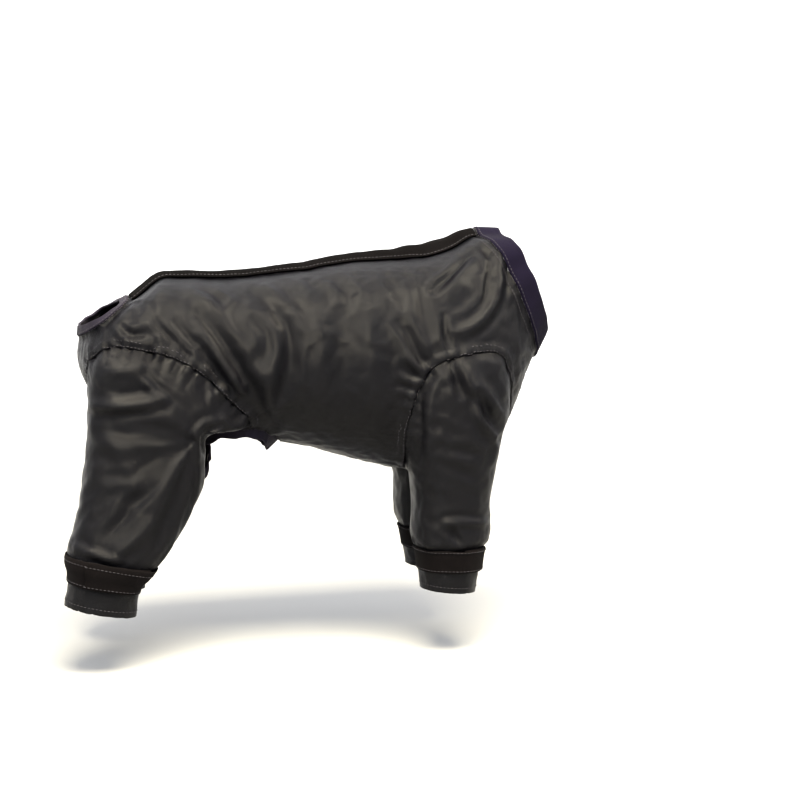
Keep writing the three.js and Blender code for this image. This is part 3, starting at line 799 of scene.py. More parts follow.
def slackened(points):
    """The cloth's points after the simulation."""
    mesh = union_skin([body_form, *(limb["form"] for limb in legs)], SLACK_GRAIN)
    coarse = smoothed(read_points(mesh), read_edges(mesh), 2)
    base_tree = tree_of(base_points)
    found = [base_tree.find(p) for p in coarse]
    nearest, gaps = np.array([f[1] for f in found]), np.array([f[2] for f in found])
    settled = np.exp(-(gaps / SETTLED_REACH) ** 2)[:, None]
    start = coarse + (points - base_points)[nearest] * settled
    write_points(mesh, start)
    drape = bpy.data.objects.new("drape", mesh)
    scene.collection.objects.link(drape)
    group = drape.vertex_groups.new(name="held")
    weights = np.round(held_weights(start, gaps), 1)
    for weight in np.unique(weights):
        group.add([int(k) for k in np.flatnonzero(weights == weight)], float(weight), "REPLACE")
    forms = [inner_form(form) for form in (body_form, *(limb["form"] for limb in legs))]
    cloth = drape.modifiers.new("slack", "CLOTH")
    for name, value in CLOTH_SETTINGS.items():
        setattr(cloth.settings, name, value)
    cloth.collision_settings.use_collision = True
    cloth.collision_settings.distance_min = COLLISION_GAP
    for number in range(1, SLACK_FRAMES + 1):
        scene.frame_set(number)
    moved = read_points(evaluated_mesh(drape)) - start
    scene.frame_set(1)
    for piece in (drape, *forms):
        bpy.data.objects.remove(piece)
    length = np.linalg.norm(moved, axis=1)
    moved *= (SLACK_REACH * np.tanh(length / SLACK_REACH) / np.maximum(length, 1e-9))[:, None]
    start_tree = tree_of(start)
    taken = np.empty_like(points)
    for k, point in enumerate(points):
        near = start_tree.find_n(point, NEAR_POINTS)
        share = np.array([1 / (f[2] + NEAR_BLUR) ** 2 for f in near])
        taken[k] = share @ moved[[f[1] for f in near]] / share.sum()
    return points + SLACK_SHARE * smoothed(taken, cloth_edges, 3)


cloth_points = slackened(cloth_points)
write_points(cloth_mesh, cloth_points)


# Seats of the straps: the cuffs are drawn in under them and bulge above
def strap_shares(leg):
    """Shares down a sleeve at which the front of its cuff passes the strap's two edges."""
    shares = np.linspace(0, 1, 501)
    downs = np.array([column_value(leg["rings"], LEG_COLUMNS, "front_down", s) for s in shares])
    reaches = np.array([HEM_BELOW_STRAP + STRAP_WIDTH, HEM_BELOW_STRAP]) / leg["length"]
    return [shares[np.argmax(downs >= downs[-1] - reach)] for reach in reaches]


def ripple(distances, length, seed):
    """A smooth random wave along a line, from about -1 to 1."""
    return np.array([2 * noise.noise(Vector((d / length, seed * 7.3, 0.5))) for d in distances])


STRAP_DRAW_IN = 0.0007
BULGE = 0.0016
SEAT_OUT, SEAT_IN = 0.012, 0.01  # shares of a sleeve over which its seat begins and ends
BULGE_ABOVE, BULGE_REACH = 0.035, 0.028
BULGE_EVEN, BULGE_UNEVEN = 0.55, 0.6  # shares of its height
BULGE_WAVE_LENGTH = 0.011
CUFF_RADIUS = 0.03
for number, limb in enumerate(legs):
    limb["strap_shares"] = strap_shares(limb["leg"])
    upper, lower = limb["strap_shares"]
    mine = np.flatnonzero(owner == number)
    share = on_leg_row[mine] / LEG_ROWS
    under = smoothstep(upper - SEAT_OUT, upper + SEAT_IN, share)
    under *= 1 - smoothstep(lower - SEAT_IN, lower + SEAT_OUT, share)
    above = np.exp(-(((share - upper + BULGE_ABOVE) / BULGE_REACH) ** 2))
    turn = np.arctan2(base_normals[mine, 1], base_normals[mine, 0])
    uneven = BULGE_EVEN + BULGE_UNEVEN * ripple(turn * CUFF_RADIUS, BULGE_WAVE_LENGTH, number + 1)
    seat = base_points[mine] - STRAP_DRAW_IN * base_normals[mine]
    cloth_points[mine] += under[:, None] * (seat - cloth_points[mine])
    cloth_points[mine] += (BULGE * above * uneven)[:, None] * base_normals[mine]

# Seams: the panels' edges are turned under and lie on the sleeves, and the thread draws both
# together. Each row gives a line, the gathers' height along it, their length and their reach.
SEAM_LIFT = 0.0010
ALLOWANCE = 0.0068
ALLOWANCE_EDGE = (ALLOWANCE - 0.001, ALLOWANCE + 0.0012)
GATHERS = [
    ("seam_0", 0.0010, 0.007, 0.010), ("seam_1", 0.0010, 0.007, 0.010),
    ("seam_2", 0.0021, 0.0046, 0.0075), ("seam_3", 0.0021, 0.0046, 0.0075),
    ("spine", 0.0010, 0.013, 0.016), ("keel", 0.0004, 0.008, 0.008),
    ("neck", 0.0007, 0.012, 0.012), ("tail", 0.0011, 0.007, 0.012), ("cut_out", 0.0011, 0.008, 0.010),
    ("hem_0", 0.0004, 0.011, 0.010), ("hem_1", 0.0004, 0.011, 0.010),
    ("hem_2", 0.0004, 0.011, 0.010), ("hem_3", 0.0004, 0.011, 0.010),
]


write_points(cloth_mesh, cloth_points)
cloth_normals = read_normals(cloth_mesh)
gathered = np.zeros(len(cloth_points))
for seed, (name, rise, length, reach) in enumerate(GATHERS):
    run = lines[name][0]
    along = travelled(cloth_points[run])
    tree = tree_of(cloth_points[run])
    wave = rise * ripple(along, length, seed)
    found = [tree.find(p) for p in cloth_points]
    nearest, far = np.array([f[1] for f in found]), np.array([f[2] for f in found])
    gathered += wave[nearest] * np.exp(-far / reach) * (far < 4 * reach)
    if name.startswith("seam"):
        gathered += SEAM_LIFT * (1 - smoothstep(*ALLOWANCE_EDGE, far)) * ~on_sleeve
cloth_points = cloth_points + gathered[:, None] * cloth_normals
write_points(cloth_mesh, cloth_points)
cloth_normals = read_normals(cloth_mesh)

# Weave map: distances in metres along and round the cloth, as its own threads run
BODY_RADIUS = 0.08
SLEEVE_RADIUS = 0.034
BODY_AXIS_X, BODY_AXIS_Z = (-0.18, 0.18), (-0.075, -0.03)


def map_weave(mesh):
    points = read_points(mesh)
    middle_z = np.interp(points[:, 0], BODY_AXIS_X, BODY_AXIS_Z)
    place = np.empty((len(points), 2))
    place[:, 0] = points[:, 0]
    place[:, 1] = BODY_RADIUS * np.arctan2(np.abs(points[:, 1]), points[:, 2] - middle_z)
    for number, limb in enumerate(legs):
        mine = owner == number
        rings = np.array([r.mean(0) for r in limb["form"]["rings"]])
        centre_x = np.interp(-points[mine, 2], -rings[:, 2], rings[:, 0])
        centre_y = np.interp(-points[mine, 2], -rings[:, 2], rings[:, 1])
        turn = np.arctan2(points[mine, 1] - centre_y, points[mine, 0] - centre_x)
        place[mine] = np.stack([SLEEVE_RADIUS * turn, points[mine, 2]], axis=1)
    layer = mesh.uv_layers.new(name="weave_map")
    wrap = 2 * math.pi * SLEEVE_RADIUS
    for polygon in mesh.polygons:
        corners = place[list(polygon.vertices)]
        if face_piece[polygon.index] < PANEL_RIGHT and np.ptp(corners[:, 0]) > wrap / 2:
            corners[corners[:, 0] < 0, 0] += wrap
        for loop, corner in zip(polygon.loop_indices, corners):
            layer.data[loop].uv = corner


map_weave(cloth_mesh)
cloth_faces = [tuple(polygon.vertices) for polygon in cloth_mesh.polygons]
cloth_tree = BVHTree.FromPolygons([Vector(p) for p in cloth_points], cloth_faces)


# Material groups and materials
def add_node(tree, kind, **settings):
    node = tree.nodes.new(kind)
    for name, value in settings.items():
        setattr(node, name, value)
    return node


def set_inputs(node, **values):
    """Gives inputs their values. An underscore stands for a space in an input's label."""
    for label, value in values.items():
        node.inputs[label.replace("_", " ")].default_value = value
    return node


def join(tree, source, target):
    tree.links.new(source, target)


def calculate(tree, operation, first, second=None):
    """The output of a Math node whose inputs are sockets or numbers."""
    node = add_node(tree, "ShaderNodeMath", operation=operation)
    for socket, value in zip(node.inputs, (first, second)):
        if value is None:
            continue
        if isinstance(value, (int, float)):
            socket.default_value = value
        else:
            join(tree, value, socket)
    return node.outputs[0]


def new_group(name, inputs, outputs):
    """A shader node group with named float or vector inputs, and float outputs."""
    tree = bpy.data.node_groups.new(name, "ShaderNodeTree")
    for label, value in inputs:
        kind = "NodeSocketVector" if value is None else "NodeSocketFloat"
        socket = tree.interface.new_socket(label, in_out="INPUT", socket_type=kind)
        if value is not None:
            socket.default_value = value
    for label in outputs:
        tree.interface.new_socket(label, in_out="OUTPUT", socket_type="NodeSocketFloat")
    return tree, add_node(tree, "NodeGroupInput").outputs, add_node(tree, "NodeGroupOutput").inputs


def weave_group():
    """Plain weave on a map in metres: threads that pass over and under each other."""
    inputs = [("Place", None), ("Pitch", 0.0005), ("Rib", 0.0)]
    tree, given, result = new_group("thread_weave", inputs, ["Height"])
    split = add_node(tree, "ShaderNodeSeparateXYZ")
    join(tree, given["Place"], split.inputs[0])
    waves = []
    for axis in (0, 1):
        turns = calculate(tree, "DIVIDE", split.outputs[axis], given["Pitch"])
        waves.append(calculate(tree, "SINE", calculate(tree, "MULTIPLY", turns, math.pi)))
    warp, weft = (calculate(tree, "ABSOLUTE", wave) for wave in waves)
    over = calculate(tree, "GREATER_THAN", calculate(tree, "MULTIPLY", waves[0], waves[1]), 0.0)
    low = calculate(tree, "MULTIPLY", warp, calculate(tree, "SUBTRACT", 1.0, over))
    woven = calculate(tree, "ADD", low, calculate(tree, "MULTIPLY", weft, over))
    plain = calculate(tree, "MULTIPLY", woven, calculate(tree, "SUBTRACT", 1.0, given["Rib"]))
    ribbed = calculate(tree, "MULTIPLY", warp, given["Rib"])
    join(tree, calculate(tree, "ADD", plain, ribbed), result["Height"])
    return tree


def crease_group():
    """Small sharp creases with soft unevenness between them."""
    inputs = [("Place", None), ("Size", 0.02)]
    tree, given, result = new_group("small_creases", inputs, ["Height", "Patches"])
    scale = calculate(tree, "DIVIDE", 1.0, given["Size"])
    ridges = add_node(tree, "ShaderNodeTexNoise", noise_type="RIDGED_MULTIFRACTAL")
    set_inputs(ridges, Detail=2, Distortion=0.6)
    soft = set_inputs(add_node(tree, "ShaderNodeTexNoise"), Detail=3)
    for node in (ridges, soft):
        join(tree, given["Place"], node.inputs["Vector"])
    join(tree, scale, ridges.inputs["Scale"])
    join(tree, calculate(tree, "MULTIPLY", scale, 0.6), soft.inputs["Scale"])
    folded = calculate(tree, "MULTIPLY", ridges.outputs[0], 0.35)
    join(tree, calculate(tree, "ADD", folded, soft.outputs[0]), result["Height"])
    join(tree, soft.outputs[0], result["Patches"])
    return tree


def wear_group():
    """Where cloth has been rubbed and has dust on it: a mask from 0 to 1."""
    tree, given, result = new_group("rubbed_places", [("Place", None), ("Amount", 0.5)], ["Mask"])
    broad = set_inputs(add_node(tree, "ShaderNodeTexNoise"), Scale=14, Detail=5)
    specks = set_inputs(add_node(tree, "ShaderNodeTexNoise"), Scale=420)
    for node in (broad, specks):
        join(tree, given["Place"], node.inputs["Vector"])
    patches = set_inputs(add_node(tree, "ShaderNodeMapRange"), From_Min=0.45, From_Max=0.75)
    join(tree, broad.outputs[0], patches.inputs["Value"])
    grainy = calculate(tree, "MULTIPLY", patches.outputs[0], specks.outputs[0])
    join(tree, calculate(tree, "MULTIPLY", grainy, given["Amount"]), result["Mask"])
    return tree


thread_weave, small_creases, rubbed_places = weave_group(), crease_group(), wear_group()


def cloth_material(name, dark, light, rough, gloss, pitch, rib, crease, wear, sheen, relief):
    """Cloth with threads, creases and rubbed places. The pairs are for even and rubbed places.

    Pitch is the threads' distance and crease the creases' size, in metres, and relief their height.
    Rib is 0 for plain weave and 1 for ribs along the strip.
    """
    material = bpy.data.materials.new(name)
    material.use_nodes = True
    tree = material.node_tree
    shader = tree.nodes["Principled BSDF"]
    set_inputs(shader, Specular_IOR_Level=gloss, Sheen_Weight=sheen, Sheen_Roughness=0.5)
    place = add_node(tree, "ShaderNodeTexCoord").outputs["Object"]
    mapped = add_node(tree, "ShaderNodeUVMap", uv_map="weave_map").outputs[0]
    weave = add_node(tree, "ShaderNodeGroup", node_tree=thread_weave)
    creases = add_node(tree, "ShaderNodeGroup", node_tree=small_creases)
    worn = add_node(tree, "ShaderNodeGroup", node_tree=rubbed_places)
    for node, source in ((weave, mapped), (creases, place), (worn, place)):
        join(tree, source, node.inputs["Place"])
    set_inputs(weave, Pitch=pitch, Rib=rib)
    set_inputs(creases, Size=crease)
    set_inputs(worn, Amount=wear)
    tint = set_inputs(add_node(tree, "ShaderNodeMix", data_type="RGBA"), A=(*dark, 1), B=(*light, 1))
    uneven = calculate(tree, "MULTIPLY", creases.outputs["Patches"], 0.6)
    threads = calculate(tree, "MULTIPLY", weave.outputs["Height"], 0.3)
    share = calculate(tree, "ADD", calculate(tree, "ADD", uneven, threads), worn.outputs["Mask"])
    join(tree, share, tint.inputs["Factor"])
    join(tree, tint.outputs["Result"], shader.inputs["Base Color"])
    spread = set_inputs(add_node(tree, "ShaderNodeMapRange"), To_Min=rough[0], To_Max=rough[1])
    join(tree, share, spread.inputs["Value"])
    join(tree, spread.outputs[0], shader.inputs["Roughness"])
    bumps = None
    for height, distance in ((creases.outputs["Height"], relief), (weave.outputs["Height"], pitch / 4)):
        bump = set_inputs(add_node(tree, "ShaderNodeBump"), Strength=0.8, Distance=distance)
        join(tree, height, bump.inputs["Height"])
        if bumps:
            join(tree, bumps, bump.inputs["Normal"])
        bumps = bump.outputs[0]
    join(tree, bumps, shader.inputs["Normal"])
    return material


COLOUR_COLUMNS = ("name", "dark", "light", "rough", "gloss")
COLOURS = {
    "cloth": ("coated_nylon", (0.003, 0.003, 0.0052), (0.0095, 0.009, 0.0115), (0.26, 0.38), 0.26),
    "lining": ("nylon_inside", (0.003, 0.003, 0.0045), (0.009, 0.009, 0.011), (0.6, 0.75), 0.15),
    "tape": ("hook_and_loop_tape", (0.004, 0.0034, 0.0036), (0.014, 0.0115, 0.0125), (0.8, 1.0), 0.12),
    "placket": (
        "brushed_placket_tape", (0.0022, 0.0019, 0.0022), (0.0075, 0.0065, 0.0072), (0.85, 1.0), 0.07,
    ),
    "band": ("folded_neck_knit", (0.0032, 0.0022, 0.0078), (0.012, 0.009, 0.024), (0.75, 0.95), 0.12),
    "binding": ("elastic_binding", (0.007, 0.006, 0.011), (0.03, 0.025, 0.042), (0.6, 0.8), 0.2),
    "thread": ("sewing_thread", (0.03, 0.028, 0.034), (0.1, 0.095, 0.11), (0.4, 0.6), 0.3),
}
SURFACE_COLUMNS = ("pitch", "rib", "crease", "wear", "sheen", "relief")
SURFACES = {
    "cloth": (0.0004, 0.0, 0.016, 0.5, 0.0, 0.00018),
    "lining": (0.0004, 0.0, 0.016, 0.3, 0.03, 0.0006),
    "tape": (0.0009, 0.2, 0.004, 0.8, 0.02, 0.0005),
    "placket": (0.0011, 0.1, 0.005, 0.7, 0.01, 0.0005),
    "band": (0.0007, 0.75, 0.008, 0.6, 0.04, 0.0005),
    "binding": (0.0008, 0.6, 0.005, 0.6, 0.04, 0.0005),
    "thread": (0.0003, 1.0, 0.004, 0.3, 0.05, 0.0001),
}
materials = {}
for key, colours in COLOURS.items():
    looks = dict(zip(COLOUR_COLUMNS, colours)) | dict(zip(SURFACE_COLUMNS, SURFACES[key]))
    materials[key] = cloth_material(**looks)


# Separate pieces of cloth
PIECE_NAMES = [*(limb["sleeve"] for limb in legs), "body_panel_right", "body_panel_left"]


def new_piece(name, mesh):
    piece = bpy.data.objects.new(name, mesh)
    scene.collection.objects.link(piece)
    mesh.shade_smooth()
    return piece


def cloth_piece(number, name):
    """One panel or sleeve out of the skin, with its thickness inwards and a lining."""
    source = bmesh.new()
    source.from_mesh(cloth_mesh)
    layer = source.faces.layers.int["piece"]
    bmesh.ops.delete(source, geom=[f for f in source.faces if f[layer] != number], context="FACES")
    mesh = bpy.data.meshes.new(name)
    source.to_mesh(mesh)
    source.free()
    piece = new_piece(name + "_cloth", mesh)
    solidify = piece.modifiers.new("thickness", "SOLIDIFY")
    solidify.thickness = CLOTH_THICKNESS
    solidify.offset = -1
    solidify.material_offset = 1
    piece.data.materials.append(materials["cloth"])
    piece.data.materials.append(materials["lining"])
    mesh = evaluated_mesh(piece)
    piece.modifiers.clear()
    piece.data = mesh
    mesh.shade_smooth()
    return piece


pieces = {}
for number, name in enumerate(PIECE_NAMES):
    pieces[name] = cloth_piece(number, name)


# Bands and straps: flat strips with rounded edges, on a grid of points along and across
EDGE_SHARE = 0.25  # a strip's thickness at its two edges, as a share of its middle's


def slab(name, points, normals, thickness, closed, material):
    """A strip with its inner face on the grid, and a map in metres along and across it."""
    rows, across = points.shape[:2]
    u = np.linspace(-1, 1, across)
    thick = thickness * (EDGE_SHARE + (1 - EDGE_SHARE) * np.sqrt(1 - np.abs(u) ** 6))
    middle = points + normals * thickness / 2
    outer = middle + normals * thick[None, :, None] / 2
    inner = middle - normals * thick[None, :, None] / 2
    vertices = np.concatenate([outer.reshape(-1, 3), inner.reshape(-1, 3)])
    under = rows * across
    along = travelled(points[:, across // 2])
    aside = travelled(points[0])
    faces, places = [], []
    last = along[-1] + np.linalg.norm(points[0, across // 2] - points[-1, across // 2])
    for i in range(rows if closed else rows - 1):
        n = (i + 1) % rows
        here, there = along[i], last if n == 0 else along[n]
        for j in range(across - 1):
            a, b, c, d = i * across + j, n * across + j, n * across + j + 1, i * across + j + 1
            corner = [(here, aside[j]), (there, aside[j]), (there, aside[j + 1]), (here, aside[j + 1])]
            faces += [(a, b, c, d), (under + d, under + c, under + b, under + a)]
            places += [corner, corner[::-1]]
        for j, flip in ((0, False), (across - 1, True)):
            a, b = i * across + j, n * across + j
            face = (a, under + a, under + b, b)
            corner = [(here, aside[j]), (here, aside[j]), (there, aside[j]), (there, aside[j])]
            faces.append(face[::-1] if flip else face)
            places.append(corner[::-1] if flip else corner)
    if not closed:
        for i, flip in ((0, True), (rows - 1, False)):
            for j in range(across - 1):
                a, b = i * across + j, i * across + j + 1
                face = (a, under + a, under + b, b)
                corner = [(along[i], aside[j])] * 2 + [(along[i], aside[j + 1])] * 2
                faces.append(face[::-1] if flip else face)
                places.append(corner[::-1] if flip else corner)
    mesh = bpy.data.meshes.new(name)
    mesh.from_pydata([tuple(v) for v in vertices], [], faces)
    layer = mesh.uv_layers.new(name="weave_map")
    for k, corner in enumerate(c for place in places for c in place):
        layer.data[k].uv = corner
    made = bmesh.new()
    made.from_mesh(mesh)
    bmesh.ops.recalc_face_normals(made, faces=made.faces)
    made.to_mesh(mesh)
    made.free()
    mesh.materials.append(material)
    return new_piece(name, mesh)


def even_line(name, step, rounds=6):
    """A line between pieces as a smooth row of points at even distances."""
    run, closed = lines[name]
    points = cloth_points[run]
    if closed:
        points = np.vstack([points, points[:1]])
    along = travelled(points)
    places = np.linspace(0, along[-1], int(round(along[-1] / step)) + 1)
    line = np.stack([np.interp(places, along, points[:, k]) for k in range(3)], axis=1)
    if closed:
        line = line[:-1]
    for _ in range(rounds):
        before, after = np.roll(line, 1, axis=0), np.roll(line, -1, axis=0)
        if not closed:
            before[0], after[-1] = line[0], line[-1]
        line = (before + 2 * line + after) / 4
    return line, closed


def grid_normals(points, closed, core):
    """Normals of a grid, which face away from its core."""
    if closed:
        along = np.roll(points, -1, axis=0) - np.roll(points, 1, axis=0)
    else:
        along = np.gradient(points, axis=0)
    aside = np.gradient(points, axis=1)
    normals = np.cross(along, aside)
    normals /= np.maximum(np.linalg.norm(normals, axis=2), 1e-9)[..., None]
    if ((points - core) * normals).sum() < 0:
        normals = -normals
    return normals


ACROSS = 11
across_shares = 0.5 - 0.5 * np.cos(np.linspace(0, math.pi, ACROSS))
FADE_SHARE = 1 / 12  # share of a strip's length over which its waves fade at each end


def end_fade(count):
    """Shares that let a wave run out at both ends of a line, so that a closed strip has no step."""
    rising = np.linspace(0, 1, count) / FADE_SHARE
    return np.clip(np.minimum(rising, rising[::-1]), 0, 1)


def smooth_rows(points, rounds=3):
    """Evens a grid out along its length, in place."""
    for _ in range(rounds):
        points[1:-1] = (points[:-2] + 2 * points[1:-1] + points[2:]) / 4


def direction(degrees):
    """A way in the side view, from +X towards +Z."""
    return np.array([math.cos(math.radians(degrees)), 0, math.sin(math.radians(degrees))])


def end_band(name, line_name, width, thickness, top_angle, low_angle, pull, wave, wave_length, material):
    """A band that carries an end of the body on, turned towards two directions at top and bottom.

    Pull is the share by which it narrows from side to side, and wave the height of its unevenness.
    """
    line, closed = even_line(line_name, 0.002)
    top, low = line[np.argmax(line[:, 2])], line[np.argmin(line[:, 2])]
    share = np.clip((line - low) @ (top - low) / ((top - low) @ (top - low)), 0, 1)[:, None]
    lean = width * (share * direction(top_angle) + (1 - share) * direction(low_angle))
    along = travelled(line)
    points = np.empty((len(line), ACROSS, 3))
    for j, u in enumerate(across_shares):
        points[:, j] = line + u * lean
        points[:, j, 1] *= 1 - pull * u
    normals = grid_normals(points, closed, line.mean(0))
    wobble = wave * ripple(along, wave_length, len(name)) * end_fade(len(line))
    points += wobble[:, None, None] * (0.3 + across_shares[None, :, None]) * normals
    points -= normals * (thickness - CLOTH_THICKNESS) / 2
    return slab(name, points, normals, thickness, closed, material)


NECK_BAND_THICKNESS = 0.0024
TAIL_BINDING_WIDTH = 0.008
TAIL_BINDING_THICKNESS = 0.002
pieces["neck_band"] = end_band(
    "neck_band_knit", "neck", NECK_BAND_WIDTH, NECK_BAND_THICKNESS, top_angle=-3, low_angle=62,
    pull=0.1, wave=0.0004, wave_length=0.02, material=materials["band"],
)
pieces["tail_binding"] = end_band(
    "tail_binding_elastic", "tail", TAIL_BINDING_WIDTH, TAIL_BINDING_THICKNESS, top_angle=215,
    low_angle=85, pull=0.12, wave=0.0003, wave_length=0.009, material=materials["binding"],
)

BELLY_BINDING_DEPTH = 0.009
BELLY_BINDING_THICKNESS = 0.002
BELLY_BINDING_INSET = 0.0008
BELLY_BINDING_RISE = 0.0016  # how far it starts above the cut-out's edge
BELLY_BINDING_LEAN = 0.010  # how far back its front hangs, over this reach
BELLY_BINDING_LEAN_REACH = 0.022
RAGGED, RAGGED_LENGTH = 0.0011, 0.011  # unevenness of its lower edge
FLUTTER, FLUTTER_LENGTH = 0.0009, 0.006


def belly_binding():
    """A gathered band inside the belly cut-out, which hangs a little below the cloth."""
    line, closed = even_line("cut_out", 0.002, 10)
    along = travelled(line)
    middle = line.mean(0)
    outward = line - middle
    outward[:, 2] = 0
    outward /= np.linalg.norm(outward, axis=1)[:, None]
    fade = end_fade(len(line))
    ragged = RAGGED * ripple(along, RAGGED_LENGTH, 3) * fade
    flutter = FLUTTER * ripple(along, FLUTTER_LENGTH, 5) * fade
    front = line[:, 0].max()
    lean = BELLY_BINDING_LEAN * smoothstep(front - BELLY_BINDING_LEAN_REACH, front, line[:, 0])
    points = np.empty((len(line), ACROSS, 3))
    for j, u in enumerate(across_shares):
        points[:, j] = line - (BELLY_BINDING_INSET + 0.2 * BELLY_BINDING_THICKNESS) * outward
        points[:, j] += (flutter * u)[:, None] * outward
        points[:, j, 0] -= u * lean
        points[:, j, 2] += BELLY_BINDING_RISE - u * (BELLY_BINDING_DEPTH + ragged)
    normals = grid_normals(points, closed, middle)
    points -= normals * BELLY_BINDING_THICKNESS
    return slab(
        "belly_binding_elastic", points, normals, BELLY_BINDING_THICKNESS, closed, materials["binding"],
    )


pieces["belly_binding"] = belly_binding()

# Straps
STRAP_THICKNESS = 0.0016
STRAP_LAP = 80  # degrees of the strap that lie over its own start
STRAP_LAP_RISE = 24  # degrees over which it climbs there
STRAP_TURNS = 360 + STRAP_LAP
STRAP_STEP = 2.5
STRAP_GAP, LAP_GAP = 0.0005, 0.0004  # under the strap and under its lap
TIP_LIFT, TIP_REACH = 0.0012, 6  # metres and degrees
CUFF_REACH = 0.1  # further than any point of a cuff is from its centre


def sleeve_tree(number):
    """The faces of one sleeve, to lay its strap on."""
    faces = [face for face, piece in zip(cloth_faces, face_piece) if piece == number]
    return BVHTree.FromPolygons([Vector(p) for p in cloth_points], faces)


def strap(number, limb):
    """A strap round a cuff, with its free end lapped over its start."""
    leg, side = limb["leg"], limb["side"]
    tree = sleeve_tree(number)
    left = np.arange(STRAP_TURNS, -1, -STRAP_STEP)
    upper, lower = limb["strap_shares"]
    angles = np.radians(side * (leg["strap_end"] - leg["strap_way"] * left))
    points = np.empty((len(left), ACROSS, 3))
    for j, u in enumerate(across_shares):
        share = upper + u * (lower - upper)
        goals = leg_ring(leg, side, share, angles)
        centre = leg_ring(leg, side, share, leg_turns).mean(0)
        for i, goal in enumerate(goals):
            away = Vector(goal - centre).normalized()
            hit = tree.ray_cast(Vector(centre), away, CUFF_REACH)[0]
            points[i, j] = hit if hit is not None else goal
    smooth_rows(points)
    centre = leg_ring(leg, side, (upper + lower) / 2, leg_turns).mean(0)
    normals = grid_normals(points, False, centre)
    lap = 1 - smoothstep(STRAP_LAP, STRAP_LAP + STRAP_LAP_RISE, left)
    out = STRAP_GAP + lap * (STRAP_THICKNESS + LAP_GAP) + TIP_LIFT * np.exp(-left / TIP_REACH)
    points += out[:, None, None] * normals
    return slab(limb["strap"] + "_tape", points, normals, STRAP_THICKNESS, False, materials["tape"])


for number, limb in enumerate(legs):
    pieces[limb["strap"]] = strap(number, limb)

# Placket over the closure
PLACKET_THICKNESS = 0.0014
PLACKET_GAP = 0.0005
PLACKET_WAVE, PLACKET_WAVE_LENGTH = 0.0016, 0.03
PULL, PULL_PLACE, PULL_REACH = 0.006, 0.115, 0.02  # its right edge is drawn down at the shoulders
DROP_FROM, DROP_LENGTH = 0.03, 0.08  # it is laid on the cloth from this height above the spine
MISSED_DROP = 0.003


def placket():
    """The tape over the closure, laid down on the cloth along the spine."""
    line, _ = even_line("spine", 0.003)
    line = line[np.argsort(line[:, 0])]
    half = PLACKET_WIDTH / 2
    wave = PLACKET_WAVE * ripple(travelled(line), PLACKET_WAVE_LENGTH, 9)
    pulled = PULL * np.exp(-(((line[:, 0] - PULL_PLACE) / PULL_REACH) ** 2))
    points = np.empty((len(line), ACROSS, 3))
    for j, u in enumerate(across_shares):
        for i, spot in enumerate(line):
            y = (2 * u - 1) * (half + wave[i]) - pulled[i] * max(0, 1 - 2 * u)
            over = Vector((spot[0], y, spot[2] + DROP_FROM))
            hit = cloth_tree.ray_cast(over, Vector((0, 0, -1)), DROP_LENGTH)[0]
            points[i, j] = hit if hit is not None else (spot[0], y, spot[2] - MISSED_DROP)
    smooth_rows(points)
    normals = grid_normals(points, False, np.array([0, 0, -0.1]))
    points += PLACKET_GAP * normals
    return slab("back_placket_tape", points, normals, PLACKET_THICKNESS, False, materials["placket"])


pieces["back_placket"] = placket()

# Stitches, laid along rows on the cloth by Geometry Nodes
STITCH_PITCH = 0.0031
STITCH_LENGTH = 0.0023
THREAD_THICKNESS = 0.0007
ROW_STEP = 0.0025
ROW_SPREAD = 0.003  # how far from the cloth a row's point may be and still lie on it
THREAD_LIFT = 0.0001


